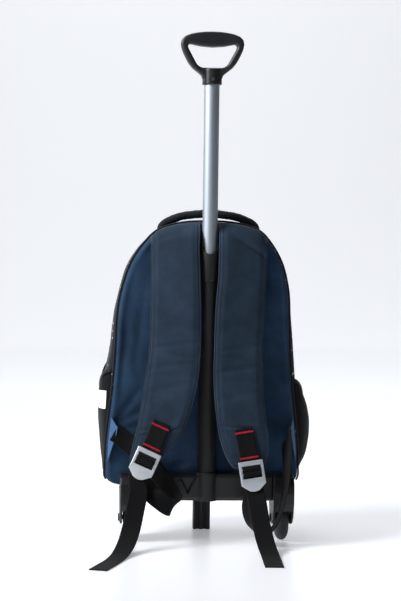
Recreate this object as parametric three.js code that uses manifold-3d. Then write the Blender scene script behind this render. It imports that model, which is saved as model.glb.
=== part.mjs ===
// A wheeled backpack, standing on its two wheels and its foot with the handle pulled out.
// Millimetres, +Z up. The origin is the centre of the foot's sole. The back panel and the
// shoulder straps face -Y, the front of the bag faces +Y, and the wearer's left is -X.
import * as THREE from 'three';
import { mergeVertices } from 'three/addons/utils/BufferGeometryUtils.js';
import Module from 'manifold-3d';

const wasm = await Module();
wasm.setup();

// Clearances
const seatGap = 0.3; // between pieces that touch or are sewn together
const runGap = 1.5; // beside a turning wheel

// Bag body
const bagBottomZ = 90;
const bagHeight = 437;
const bagHalfWidth = 161;
const bagLean = -8; // the soft bag hangs to the left of its trolley
const leanHeight = 160; // from the top down to where it hangs over fully
const bagDepth = 148; // from the rim behind the back panel to the front face
const clothWall = 2.4;
const backFaceY = -112; // outer face of the padded back panel
const panelThickness = 10.5;
const panelEdgeRound = 7;
const pipingRadius = 2.2;
const outlineSteps = 48;

// Side pockets of mesh
const pocketWall = 1.6;
const pocketClear = 1.1; // seam allowance between the pocket's edges and the bag
const pocketHem = 1.2; // thickness of the seam gathered under the pocket
const pocketBottomZ = 114;
const pocketBackY = -92;
const pocketFrontY = 22;
const pocketDip = 34; // how far the free rim hangs below its two sewn corners
const pocketTopLeftZ = 284;
const pocketTopRightZ = 268;
const pocketBulgeLeft = 10;
const pocketBulgeRight = 23;
const bandHeight = 30;
const bandThickness = 1;
const bandDrop = 4; // from the lowest point of the pocket's rim to the top of the band

// Zip round the gusset
const zipCentreY = 10;
const zipWidth = 24;
const zipThickness = 1.2;
const zipEndZ = 298;
const sliderLength = 15;
const sliderWidth = 9;
const sliderThickness = 4;
const pullLength = 26;

// Grab handle on the top seam
const grabSpan = 160;
const grabRise = 18; // from the bag's top to the highest point of the handle
const grabY = -84;
const grabThickness = 12;
const grabWidth = 16;

// Telescopic handle
const tubeY = -120;
const tubeRadius = 12.5;
const tubeWall = 1.3;
const tubeLength = 365;
const sleeveWall = 1.7;
const sleeveBottomZ = 92;
const collarDrop = 37; // from the bag's top down to the collar
const collarTopZ = bagBottomZ + bagHeight - collarDrop;
const collarHeight = 60;
const collarFlare = 2.6;
const collarLip = 16;
const scoopRadius = 12.5;
const gripTopZ = 837;
const gripWidth = 103;
const gripHeight = 86;
const gripDepth = 24;
const gripNeckRadius = 15.8;
const gripNeckHeight = 26;
const gripSocketDepth = 22;
const gripBarThickness = 24;
const gripArmThickness = 10;
const gripScrewRadius = 3;
const gripScrewHead = 1.6;

// Shoulder straps
const strapDrop = 386; // from the middle of the strap's top seam to its lower end
const strapSeamDrop = 13; // from the bag's top to the middle of the strap's top seam
const strapWidth = 81;
const strapThickness = 12;
const strapStandoff = 50; // how far the lower end hangs in front of the panel

// Webbing and buckles
const webWidth = 30;
const webThickness = 1.6;
const buckleWidth = 40.5;
const buckleLength = 50;
const buckleThickness = 3.2;
const buckleTopBar = 7.5;
const buckleWindow = 20.5;
const rodHeight = 3.2; // the two bars inside the window that the webbing turns round
const upperSlot = 3.4;
const middleSlot = 5.2;
const shoulderHeight = 12; // from the tip up to where the buckle is full width
const buckleProud = 12.5; // from the middle of the strap's end out to the buckle
const tabHeight = 74;
const tabReach = 22;
const tabTopZ = 204;
const tabThickness = 1.8;

// Chassis
const wheelRadius = 37;
const wheelWidth = 23;
const wheelCentreX = 126;
const wheelY = -105;
const hubRadius = 24;
const axleRadius = 4;
const axleHead = 7;
const axleHeadThickness = 2;
const cheekWall = 4.2;
const forkRearY = -149;
const forkFrontY = -62;
const forkTopZ = 113;
const forkBottomZ = 27;
const beamRearY = -132;
const beamBottomZ = 68;
const bossWall = 3.4;
const trayThickness = 5.2;
const trayHalfWidth = 140;
const trayFrontY = 40;
const footWidth = 29;
const footDepth = 25;
const footGroove = 4;

// The front outline of the bag, from the top seam round to the middle of the bottom.
// rise is a share of bagHeight, body and panel are shares of bagHalfWidth.
const outlineTable = [
  { rise: 1.0, body: 0.0, panel: 0.0 },
  { rise: 0.997, body: 0.23, panel: 0.22 },
  { rise: 0.984, body: 0.42, panel: 0.4 },
  { rise: 0.961, body: 0.56, panel: 0.54 },
  { rise: 0.915, body: 0.69, panel: 0.655 },
  { rise: 0.87, body: 0.775, panel: 0.735 },
  { rise: 0.826, body: 0.832, panel: 0.79 },
  { rise: 0.735, body: 0.888, panel: 0.855 },
  { rise: 0.645, body: 0.925, panel: 0.88 },
  { rise: 0.508, body: 0.96, panel: 0.895 },
  { rise: 0.366, body: 0.985, panel: 0.923 },
  { rise: 0.16, body: 1.0, panel: 0.985 },
  { rise: 0.078, body: 1.0, panel: 0.99 },
  { rise: 0.037, body: 1.0, panel: 0.99 },
  { rise: 0.012, body: 0.955, panel: 0.94 },
  { rise: 0.0, body: 0.84, panel: 0.825 },
  { rise: 0.0, body: 0.0, panel: 0.0 },
];

// How the bag swells and then rounds off from its back rim to its front face.
// depth is a share of bagDepth, belly mixes the panel outline into the body outline,
// width is a share of the half width, top and lift are shares of bagHeight.
const depthTable = [
  { depth: 0.0, belly: 0.0, width: 1.0, top: 0.0, lift: 0.0 },
  { depth: 0.07, belly: 0.8, width: 1.0, top: 0.0, lift: 0.0 },
  { depth: 0.2, belly: 1.0, width: 1.0, top: 0.003, lift: 0.0 },
  { depth: 0.5, belly: 1.0, width: 0.988, top: 0.018, lift: 0.0 },
  { depth: 0.72, belly: 1.0, width: 0.973, top: 0.045, lift: 0.0 },
  { depth: 0.87, belly: 1.0, width: 0.95, top: 0.085, lift: 0.008 },
  { depth: 0.96, belly: 1.0, width: 0.912, top: 0.13, lift: 0.022 },
  { depth: 1.0, belly: 1.0, width: 0.855, top: 0.175, lift: 0.045 },
];

// Shoulder straps from the top seam down. drop is a share of strapDrop, inner and outer are
// shares of strapWidth from the bag's middle line, front is a share of strapStandoff for the
// inner edge and back for the outer edge.
const strapTables = {
  left: [
    { drop: 0, inner: 0.2, outer: 1.19, slope: 0.064, front: 0.073, back: 0.073 },
    { drop: 0.036, inner: 0.21, outer: 1.19, slope: 0.045, front: 0.34, back: 0.2 },
    { drop: 0.104, inner: 0.22, outer: 1.19, slope: 0.02, front: 0.48, back: 0.24 },
    { drop: 0.197, inner: 0.2, outer: 1.185, slope: 0.01, front: 0.52, back: 0.26 },
    { drop: 0.298, inner: 0.18, outer: 1.185, slope: 0.005, front: 0.52, back: 0.28 },
    { drop: 0.402, inner: 0.17, outer: 1.19, slope: 0.005, front: 0.53, back: 0.31 },
    { drop: 0.505, inner: 0.175, outer: 1.21, slope: 0.005, front: 0.57, back: 0.37 },
    { drop: 0.619, inner: 0.21, outer: 1.285, slope: 0.008, front: 0.65, back: 0.47 },
    { drop: 0.712, inner: 0.3, outer: 1.345, slope: 0.012, front: 0.74, back: 0.6 },
    { drop: 0.806, inner: 0.42, outer: 1.425, slope: 0.03, front: 0.85, back: 0.75 },
    { drop: 0.881, inner: 0.56, outer: 1.53, slope: 0.06, front: 0.92, back: 0.86 },
    { drop: 0.943, inner: 0.72, outer: 1.58, slope: 0.07, front: 0.98, back: 0.95 },
    { drop: 0.984, inner: 0.93, outer: 1.53, slope: 0.045, front: 1.0, back: 1.0 },
  ],
  right: [
    { drop: 0, inner: 0.18, outer: 1.185, slope: 0.055, front: 0.073, back: 0.073 },
    { drop: 0.036, inner: 0.18, outer: 1.17, slope: 0.04, front: 0.34, back: 0.2 },
    { drop: 0.104, inner: 0.18, outer: 1.16, slope: 0.02, front: 0.48, back: 0.24 },
    { drop: 0.197, inner: 0.17, outer: 1.15, slope: 0.01, front: 0.54, back: 0.26 },
    { drop: 0.298, inner: 0.13, outer: 1.13, slope: 0.0, front: 0.56, back: 0.28 },
    { drop: 0.402, inner: 0.11, outer: 1.11, slope: 0.0, front: 0.57, back: 0.31 },
    { drop: 0.505, inner: 0.1, outer: 1.09, slope: 0.0, front: 0.6, back: 0.37 },
    { drop: 0.619, inner: 0.09, outer: 1.1, slope: 0.0, front: 0.66, back: 0.47 },
    { drop: 0.712, inner: 0.115, outer: 1.12, slope: 0.0, front: 0.74, back: 0.6 },
    { drop: 0.806, inner: 0.16, outer: 1.165, slope: 0.0, front: 0.85, back: 0.75 },
    { drop: 0.881, inner: 0.23, outer: 1.21, slope: -0.005, front: 0.92, back: 0.86 },
    { drop: 0.953, inner: 0.36, outer: 1.19, slope: -0.01, front: 0.98, back: 0.95 },
    { drop: 0.995, inner: 0.5, outer: 1.1, slope: -0.01, front: 1.0, back: 1.0 },
  ],
};

// The adjusting webbing from the side tab down into its loop, up to the back of the buckle, and
// from the buckle to its end on the floor. side is a share of bagHalfWidth, forward a share of
// strapStandoff in front of the back panel, height a share of tabTopZ on the way down and of the
// height of the buckle's tip after that; across is the direction across the web.
const webRoutes = {
  left: {
    down: [
      { side: -0.907, forward: 0.3, height: 0.8627, across: [0.1, 0.05, 1] },
      { side: -0.82, forward: 0.31, height: 0.8039, across: [0.3, 0, 0.95] },
      { side: -0.696, forward: 0.42, height: 0.7206, across: [0.45, -0.1, 0.85] },
      { side: -0.547, forward: 0.56, height: 0.6078, across: [0.6, -0.2, 0.75] },
      { side: -0.422, forward: 0.76, height: 0.4804, across: [0.7, -0.3, 0.6] },
    ],
    up: [
      { side: -0.335, forward: 0.98, height: 0.6529, across: [0.7, -0.35, 0.6] },
      { side: -0.373, forward: 1.26, height: 0.5785, across: [0.55, 0.05, 0.85] },
      { side: -0.515, forward: 1.34, height: 0.7089, across: [0.6, 0.15, 0.8] },
      { side: -0.615, forward: 1.2, height: 0.8373, across: [0.95, 0.05, 0.1] },
    ],
    fall: [
      { side: -0.714, forward: 1.5, height: 0.8209, across: [1, 0, -0.25] },
      { side: -0.745, forward: 1.68, height: 0.5783, across: [1, 0, -0.15] },
      { side: -0.783, forward: 1.98, height: 0.3452, across: [1, 0, -0.05] },
      { side: -0.832, forward: 2.42, height: 0.1585, across: [1, -0.1, 0] },
      { side: -0.894, forward: 2.98, height: 0.0466, across: [1, -0.25, 0] },
      { side: -0.957, forward: 3.6, height: 0.0148, across: [1, -0.4, 0] },
      { side: -1.037, forward: 4.36, height: 0.0112, across: [1, -0.7, 0] },
      { side: -1.124, forward: 5.14, height: 0.0112, across: [0.7, -1, 0] },
    ],
  },
  right: {
    down: [
      { side: 0.814, forward: 0.38, height: 0.8725, across: [0.3, 0.1, 1] },
      { side: 0.807, forward: 0.56, height: 0.799, across: [0.75, -0.5, 0.3] },
      { side: 0.801, forward: 0.84, height: 0.6765, across: [0.6, -0.8, 0] },
      { side: 0.789, forward: 1.06, height: 0.5196, across: [0.35, -0.93, 0] },
      { side: 0.752, forward: 1.14, height: 0.3627, across: [0.15, -1, 0] },
      { side: 0.702, forward: 1.16, height: 0.2108, across: [0.05, -1, 0] },
    ],
    up: [
      { side: 0.627, forward: 1.16, height: 0.2731, across: [0.05, -1, 0] },
      { side: 0.528, forward: 1.18, height: 0.2294, across: [0.15, -1, 0] },
      { side: 0.447, forward: 1.14, height: 0.3607, across: [0.35, -0.9, 0] },
      { side: 0.416, forward: 1.12, height: 0.6011, across: [0.7, -0.65, 0] },
      { side: 0.435, forward: 1.2, height: 0.8196, across: [0.95, -0.25, 0] },
    ],
    fall: [
      { side: 0.484, forward: 1.48, height: 0.8305, across: [1, 0, 0.1] },
      { side: 0.503, forward: 1.68, height: 0.6011, across: [1, 0, 0.05] },
      { side: 0.528, forward: 2, height: 0.3498, across: [1, 0, 0] },
      { side: 0.553, forward: 2.44, height: 0.1529, across: [1, 0, 0] },
      { side: 0.571, forward: 3, height: 0.0437, across: [1, 0, 0] },
      { side: 0.571, forward: 3.6, height: 0.0154, across: [1, 0, 0] },
      { side: 0.565, forward: 4.16, height: 0.0132, across: [1, 0, 0] },
      { side: 0.559, forward: 4.72, height: 0.0132, across: [1, 0, 0] },
    ],
  },
};

// How each buckle lies on its strap: overlap is from the strap's lower end up to the buckle's
// top, turn is about the buckle's face in radians, aside is a shift to the right, and patch is
// how far the patch's top lies between the strap's fourth and third rows from the end.
const buckleSeats = {
  left: { overlap: 22, turn: -0.1, aside: -4.5, patch: 0.35 },
  right: { overlap: 9, turn: 0, aside: 3, patch: 0.65 },
};

// Colours of the real materials
const finishes = {
  panelCloth: { color: 0x2c5c9c, roughness: 0.9, metalness: 0 },
  strapCloth: { color: 0x2c3448, roughness: 0.9, metalness: 0 },
  gussetCloth: { color: 0x24262b, roughness: 0.92, metalness: 0 },
  mesh: { color: 0x14151a, roughness: 0.95, metalness: 0 },
  reflective: { color: 0xe4e6e8, roughness: 0.5, metalness: 0 },
  webbing: { color: 0x101114, roughness: 0.85, metalness: 0 },
  tabCloth: { color: 0x6f97c8, roughness: 0.9, metalness: 0 },
  blackPlastic: { color: 0x0f1013, roughness: 0.45, metalness: 0 },
  tyre: { color: 0x1b1c20, roughness: 0.7, metalness: 0 },
  aluminium: { color: 0xc6c9ce, roughness: 0.32, metalness: 1 },
  zinc: { color: 0xb9bcc0, roughness: 0.35, metalness: 1 },
};

const model = new THREE.Group();

function addPiece(name, geometry, finish) {
  const mesh = new THREE.Mesh(geometry, new THREE.MeshStandardMaterial(finishes[finish]));
  mesh.name = name;
  model.add(mesh);
  return mesh;
}

const vec = (x, y, z) => new THREE.Vector3(x, y, z);

// Solids from rings and sheets

function signedVolume(positions, indices) {
  let total = 0;
  for (let i = 0; i < indices.length; i += 3) {
    const [a, b, c] = [positions[indices[i]], positions[indices[i + 1]], positions[indices[i + 2]]];
    total += a.dot(vec(0, 0, 0).crossVectors(b, c));
  }
  return total;
}

function closedGeometry(positions, indices) {
  const facesOut = signedVolume(positions, indices) > 0;
  const ordered = facesOut ? indices : [...indices].reverse();
  const geometry = new THREE.BufferGeometry();
  geometry.setAttribute('position',
    new THREE.Float32BufferAttribute(positions.flatMap((p) => [p.x, p.y, p.z]), 3));
  geometry.setIndex(ordered);
  geometry.computeVertexNormals();
  return geometry;
}

// A skin through rings of equal length, with a fan over each end. A column in turned has the
// other diagonal, so that both faces of a thin twisted band fold along the same line.
function loft(rings, turned = []) {
  const count = rings[0].length;
  const positions = rings.flat();
  const indices = [];
  const bands = rings.length - 1;
  for (let i = 0; i < bands; i += 1) {
    const near = i * count;
    const far = near + count;
    for (let j = 0; j < count; j += 1) {
      const k = (j + 1) % count;
      if (turned.includes(j)) indices.push(near + j, near + k, far + j, near + k, far + k, far + j);
      else indices.push(near + j, near + k, far + k, near + j, far + k, far + j);
    }
  }
  for (const [ring, start, flip] of [[rings[0], 0, true], [rings.at(-1), bands * count, false]]) {
    const middle = ring.reduce((sum, p) => sum.add(p), vec(0, 0, 0)).divideScalar(count);
    const hub = positions.push(middle) - 1;
    for (let j = 0; j < count; j += 1) {
      const k = (j + 1) % count;
      indices.push(...(flip ? [hub, start + k, start + j] : [hub, start + j, start + k]));
    }
  }
  return closedGeometry(positions, indices);
}

// A curved sheet of cloth: a grid of points moved out along its normals to its two faces.
function sheet(grid, thickness, outward, lift = 0) {
  const rows = grid.length;
  const columns = grid[0].length;
  const at = (i, j) => grid[Math.min(Math.max(i, 0), rows - 1)][Math.min(Math.max(j, 0), columns - 1)];
  const face = (distance) => grid.map((row, i) => row.map((p, j) => {
    const along = at(i + 1, j).clone().sub(at(i - 1, j));
    const across = at(i, j + 1).clone().sub(at(i, j - 1));
    const normal = along.cross(across).normalize();
    if (normal.dot(outward(p)) < 0) normal.negate();
    return p.clone().addScaledVector(normal, distance);
  }));
  const inner = face(lift);
  const outer = face(lift + thickness);
  const rings = inner.map((row, i) => [...row, ...[...outer[i]].reverse()]);
  const count = 2 * columns;
  const positions = rings.flat();
  const indices = [];
  for (let i = 0; i < rows - 1; i += 1) {
    for (let j = 0; j < count; j += 1) {
      const k = (j + 1) % count;
      const [a, b] = [i * count, (i + 1) * count];
      indices.push(a + j, a + k, b + k, a + j, b + k, b + j);
    }
  }
  for (let j = 0; j < columns - 1; j += 1) {
    const mirror = count - 1 - j;
    const last = (rows - 1) * count;
    indices.push(j, mirror - 1, j + 1, j, mirror, mirror - 1);
    indices.push(last + j, last + j + 1, last + mirror - 1, last + j, last + mirror - 1, last + mirror);
  }
  return closedGeometry(positions, indices);
}

// Booleans

function toSolid(geometry) {
  const bare = geometry.clone();
  bare.deleteAttribute('normal');
  bare.deleteAttribute('uv');
  const merged = mergeVertices(bare, 1e-4);
  return new wasm.Manifold(new wasm.Mesh({
    numProp: 3,
    vertProperties: new Float32Array(merged.attributes.position.array),
    triVerts: new Uint32Array(merged.index.array),
  }));
}

function toGeometry(solid) {
  const mesh = solid.getMesh();
  const geometry = new THREE.BufferGeometry();
  geometry.setAttribute('position', new THREE.Float32BufferAttribute(mesh.vertProperties, 3));
  geometry.setIndex([...mesh.triVerts]);
  geometry.computeVertexNormals();
  return geometry;
}

function box(low, high) {
  const size = high.map((value, i) => value - low[i]);
  const geometry = new THREE.BoxGeometry(...size);
  return geometry.translate(...low.map((value, i) => value + size[i] / 2));
}

function cylinderZ(radius, x, y, lowZ, highZ, sides = 32) {
  return new THREE.CylinderGeometry(radius, radius, highZ - lowZ, sides)
    .rotateX(Math.PI / 2)
    .translate(x, y, (lowZ + highZ) / 2);
}

function cylinderX(radius, lowX, highX, y, z, sides = 32) {
  return new THREE.CylinderGeometry(radius, radius, highX - lowX, sides)
    .rotateZ(Math.PI / 2)
    .translate((lowX + highX) / 2, y, z);
}

// A profile drawn in Y and Z and pulled along X.
function prismX(points, lowX, highX) {
  const shape = new THREE.Shape(points.map(([y, z]) => new THREE.Vector2(y, z)));
  const geometry = new THREE.ExtrudeGeometry(shape, { depth: highX - lowX, bevelEnabled: false });
  const turn = new THREE.Matrix4().set(0, 0, 1, lowX, 1, 0, 0, 0, 0, 1, 0, 0, 0, 0, 0, 1);
  return geometry.applyMatrix4(turn);
}

// The bag's outline and skin

function middleX(z) {
  return bagLean * Math.min(1, (bagBottomZ + bagHeight - z) / leanHeight);
}

function outlineRing(kind) {
  const right = outlineTable.map((row) => [row[kind], row.rise]);
  const left = right.slice(1, -1).reverse().map(([half, rise]) => [-half, rise]);
  const points = [...right, ...left].map(([half, rise]) => vec(
    middleX(bagBottomZ + rise * bagHeight) + half * bagHalfWidth, 0, bagBottomZ + rise * bagHeight));
  return new THREE.CatmullRomCurve3(points, true, 'centripetal')
    .getSpacedPoints(outlineSteps)
    .slice(0, outlineSteps)
    .map((p) => vec(p.x, p.y, Math.max(p.z, bagBottomZ)));
}

// The steps of a ring that lie above one height, from its left end over the top to its right.
function stepsAbove(ring, z) {
  const kept = ring.map((p, i) => i).filter((i) => ring[i].z > z);
  return [...kept.filter((i) => i > outlineSteps / 2), ...kept.filter((i) => i <= outlineSteps / 2)];
}

const bodyOutline = outlineRing('body');
const panelOutline = outlineRing('panel');
const rimY = backFaceY + panelThickness + seatGap;

// A ring moved out or in along its own normals in the X-Z plane.
function offsetRing(ring, distance) {
  const middle = ring.reduce((sum, p) => sum.add(p), vec(0, 0, 0)).divideScalar(ring.length);
  return ring.map((p, i) => {
    const before = ring[(i + ring.length - 1) % ring.length];
    const after = ring[(i + 1) % ring.length];
    const normal = vec(after.z - before.z, 0, before.x - after.x).normalize();
    if (normal.dot(p.clone().sub(middle)) < 0) normal.negate();
    return p.clone().addScaledVector(normal, distance);
  });
}

function sectionRing(row) {
  return bodyOutline.map((body, i) => {
    const flat = panelOutline[i].clone().lerp(body, row.belly);
    const middle = middleX(flat.z);
    const height = flat.z - bagBottomZ;
    const share = height / bagHeight;
    return vec(
      middle + (flat.x - middle) * row.width,
      rimY + row.depth * bagDepth,
      flat.z - share * row.top * bagHeight + (1 - share) * row.lift * bagHeight,
    );
  });
}

const sectionRings = depthTable.map(sectionRing);

// The bag's outer skin at one depth, exactly on the faces of the lofted shell.
function skinRing(y, offset = 0) {
  const last = sectionRings.length - 2;
  let i = sectionRings.findIndex((ring, k) => k <= last && y <= sectionRings[k + 1][0].y);
  if (i < 0) i = last;
  const [near, far] = [sectionRings[i], sectionRings[i + 1]];
  const share = (y - near[0].y) / (far[0].y - near[0].y);
  const ring = near.map((p, k) => p.clone().lerp(far[k], share));
  return offset ? offsetRing(ring, offset) : ring;
}

// Where the skin crosses one height on one side.
function skinX(side, y, z, offset = 0) {
  const ring = skinRing(y, offset);
  let best = 0;
  ring.forEach((a, i) => {
    const b = ring[(i + 1) % ring.length];
    const crosses = (a.z - z) * (b.z - z) <= 0 && a.z !== b.z;
    if (!crosses) return;
    const x = a.x + ((z - a.z) / (b.z - a.z)) * (b.x - a.x);
    if (side * x > side * best || best === 0) best = side * x > 0 ? x : best;
  });
  return best;
}

function makeBagShell() {
  const inner = sectionRings.map((ring) => offsetRing(ring, -clothWall).map((p) => vec(
    p.x, Math.min(p.y, rimY + bagDepth - clothWall), p.z)));
  const rings = [...inner.slice(0, -1).reverse(), ...sectionRings];
  inner.at(-1).forEach((p) => { p.y = rimY + bagDepth - clothWall; });
  rings.unshift(inner.at(-1));
  addPiece('bag_shell', loft(rings), 'gussetCloth');
}

function makeBackPanel() {
  const edge = [
    { back: 1, inset: 0 },
    { back: 0.4, inset: 0 },
    { back: 0.12, inset: 0.4 },
    { back: 0, inset: 1 },
  ];
  const rings = edge.map(({ back, inset }) => offsetRing(panelOutline, -inset * panelEdgeRound)
    .map((p) => vec(p.x, backFaceY + back * panelThickness, p.z)));
  const channelRadius = tubeRadius + seatGap + sleeveWall + seatGap;
  const channel = cylinderZ(channelRadius, 0, tubeY, bagBottomZ - bagHeight, bagBottomZ + 2 * bagHeight);
  addPiece('back_panel', toGeometry(toSolid(loft(rings)).subtract(toSolid(channel))), 'panelCloth');
}

function makePiping() {
  const path = offsetRing(panelOutline, pipingRadius + seatGap);
  const outside = offsetRing(panelOutline, 2 * pipingRadius + seatGap);
  const y = rimY - pipingRadius - 2 * seatGap;
  const sides = 6;
  const rings = stepsAbove(path, bagBottomZ + 4 * pipingRadius).map((i) => {
    const out = outside[i].clone().sub(path[i]).normalize();
    return Array.from({ length: sides }, (_, k) => {
      const angle = (2 * Math.PI * k) / sides;
      const point = path[i].clone().addScaledVector(out, pipingRadius * Math.cos(angle));
      point.y = y + pipingRadius * Math.sin(angle);
      return point;
    });
  });
  addPiece('back_piping', loft(rings), 'webbing');
}

// Side pockets: u runs from the back edge to the front edge, v from the bottom to the rim.
const pocketProfiles = {
  left: [0, 0.3, 0.58, 0.8, 0.94, 1, 0.97, 0.9],
  right: [0, 0.62, 0.9, 1.03, 1.06, 1.02, 0.9, 0.76],
};

function pocketPoint(side, u, v) {
  const top = side < 0 ? pocketTopLeftZ : pocketTopRightZ;
  const bulge = side < 0 ? pocketBulgeLeft : pocketBulgeRight;
  const y = pocketBackY + (pocketFrontY - pocketBackY) * u;
  const rim = top - pocketDip * Math.sin(Math.PI * u);
  const z = pocketBottomZ + (rim - pocketBottomZ) * v;
  const profile = side < 0 ? pocketProfiles.left : pocketProfiles.right;
  const place = v * (profile.length - 1);
  const step = Math.min(Math.floor(place), profile.length - 2);
  const swell = profile[step] + (place - step) * (profile[step + 1] - profile[step]);
  const out = bulge * swell * Math.sin(Math.PI * u) ** 0.6;
  const hem = pocketHem * Math.max(0, 1 - 4 * v);
  return vec(skinX(side, y, z) + side * (pocketClear + hem + out), y, z);
}

function pocketGrid(side, rows, columns, lowShare, highShare, edge = 0) {
  return Array.from({ length: rows + 1 }, (_, i) => Array.from({ length: columns + 1 }, (__, j) => {
    const u = edge + (1 - 2 * edge) * (0.5 - 0.5 * Math.cos(Math.PI * (j / columns)));
    const v = lowShare(u) + (highShare(u) - lowShare(u)) * (i / rows) ** 1.2;
    return pocketPoint(side, u, v);
  }));
}

function makePockets() {
  for (const [name, side] of [['left', -1], ['right', 1]]) {
    const grid = pocketGrid(side, 8, 12, () => 0, () => 1);
    addPiece(`side_pocket_${name}`, sheet(grid, pocketWall, () => vec(side, 0, 0)), 'mesh');
  }
  const height = (u) => pocketTopLeftZ - pocketDip * Math.sin(Math.PI * u) - pocketBottomZ;
  const lowestRim = pocketTopLeftZ - pocketDip - pocketBottomZ;
  const shareAt = (drop) => (u) => (lowestRim - drop) / height(u);
  const grid = pocketGrid(-1, 3, 14, shareAt(bandDrop + bandHeight), shareAt(bandDrop), 0.015);
  const band = sheet(grid, bandThickness, () => vec(-1, 0, 0), pocketWall + 2 * seatGap);
  addPiece('reflective_band_left', band, 'reflective');
}

function makeZip() {
  const [backY, frontY] = [zipCentreY - zipWidth / 2, zipCentreY + zipWidth / 2];
  const folds = sectionRings.map((ring) => ring[0].y).filter((y) => y > backY && y < frontY);
  const rings = [backY, ...folds, frontY].map((y) => skinRing(y, seatGap + 0.1));
  const grid = stepsAbove(skinRing(zipCentreY), zipEndZ).map((i) => rings.map((ring) => ring[i]));
  const middle = vec(0, zipCentreY, bagBottomZ + bagHeight / 2);
  addPiece('main_zip', sheet(grid, zipThickness, (p) => p.clone().sub(middle)), 'webbing');
  for (const [name, side] of [['left', -1], ['right', 1]]) {
    makeZipSlider(name, side);
  }
}

// The two sliders meet on the top of the bag, and their pulls lie along the zip.
function makeZipSlider(name, side) {
  const lift = zipThickness + 3 * seatGap;
  const [near, middle, far] = [-0.5, 0, 0.5].map((share) => skinRing(zipCentreY + share * sliderWidth, lift)[0]);
  const body = box([seatGap, -sliderWidth / 2, 0], [sliderLength, sliderWidth / 2, sliderThickness]);
  const pull = box([sliderLength / 2, -sliderWidth / 3, sliderThickness - seatGap],
    [pullLength + sliderLength / 2, sliderWidth / 3, sliderThickness + webThickness]);
  const geometry = toGeometry(toSolid(body).add(toSolid(pull)));
  if (side < 0) geometry.rotateZ(Math.PI);
  geometry.rotateX(Math.atan2(far.z - near.z, sliderWidth)).translate(middle.x, zipCentreY, middle.z);
  addPiece(`zip_slider_${name}`, geometry, 'zinc');
}

function makeGrabHandle() {
  const half = grabSpan / 2;
  const seam = skinRing(grabY).reduce((low, p) => (Math.abs(p.x - half) < Math.abs(low.x - half)
    && p.z > bagBottomZ + bagHeight / 2 ? p : low));
  const centreZ = bagBottomZ + bagHeight + grabRise - grabThickness / 2;
  const points = [
    vec(-half, grabY, seam.z - grabThickness),
    vec(-0.97 * half, grabY, seam.z + grabThickness / 2),
    vec(-0.62 * half, grabY, centreZ - 6),
    vec(-0.3 * half, grabY, centreZ - 1.5),
    vec(0, grabY, centreZ),
    vec(0.3 * half, grabY, centreZ - 1.5),
    vec(0.62 * half, grabY, centreZ - 6),
    vec(0.97 * half, grabY, seam.z + grabThickness / 2),
    vec(half, grabY, seam.z - grabThickness),
  ];
  const curve = new THREE.CatmullRomCurve3(points);
  const shape = new THREE.Shape();
  shape.absellipse(0, 0, grabWidth / 2, grabThickness / 2, 0, 2 * Math.PI);
  const tube = new THREE.ExtrudeGeometry(shape, { steps: 20, curveSegments: 4, extrudePath: curve });
  const envelope = loft(depthTable.map((row, i) => offsetRing(sectionRings[i], seatGap)));
  addPiece('grab_handle', toGeometry(toSolid(tube).subtract(toSolid(envelope))), 'mesh');
}

// Telescopic handle

function turned(profile, x, y) {
  const points = profile.map(([radius, z]) => new THREE.Vector2(radius, z));
  return new THREE.LatheGeometry(points, 32).rotateX(Math.PI / 2).translate(x, y, 0);
}

function pipeProfile(inner, outer, low, high) {
  return [[inner, low], [outer, low], [outer, high], [inner, high], [inner, low]];
}

function makeSleeve() {
  const bore = tubeRadius + seatGap;
  const outside = bore + sleeveWall;
  const lipZ = collarTopZ - collarLip;
  addPiece('handle_sleeve',
    turned(pipeProfile(bore, outside, sleeveBottomZ, lipZ - seatGap), 0, tubeY), 'blackPlastic');
  const seat = outside + seatGap;
  const collar = turned([
    [seat, collarTopZ - collarHeight],
    [seat + 1.2, collarTopZ - collarHeight],
    [seat + collarFlare, lipZ],
    [seat + collarFlare, collarTopZ - 1.5],
    [seat + collarFlare - 1.5, collarTopZ],
    [bore, collarTopZ],
    [bore, lipZ],
    [seat, lipZ],
    [seat, collarTopZ - collarHeight],
  ], 0, tubeY);
  const scoop = new THREE.CylinderGeometry(scoopRadius, scoopRadius, 4 * seat, 24)
    .translate(0, tubeY - 2 * seat, collarTopZ - scoopRadius / 5);
  const behindPanel = box([-2 * seat, backFaceY - seatGap, collarTopZ - 2 * collarHeight],
    [2 * seat, backFaceY + 2 * seat, collarTopZ + collarHeight]);
  addPiece('sleeve_collar',
    toGeometry(toSolid(collar).subtract(toSolid(scoop)).subtract(toSolid(behindPanel))), 'blackPlastic');
}

// The grip's outer edge and its finger hole, as shares of half its width and of its height.
const gripEdge = [
  { half: 0.307, rise: 0.0 },
  { half: 0.307, rise: 0.14 },
  { half: 0.44, rise: 0.22 },
  { half: 0.68, rise: 0.34 },
  { half: 0.82, rise: 0.47 },
  { half: 0.92, rise: 0.59 },
  { half: 1.0, rise: 0.73 },
  { half: 0.975, rise: 0.85 },
  { half: 0.8, rise: 0.935 },
  { half: 0.5, rise: 0.98 },
  { half: 0.2, rise: 1.0 },
];

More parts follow.
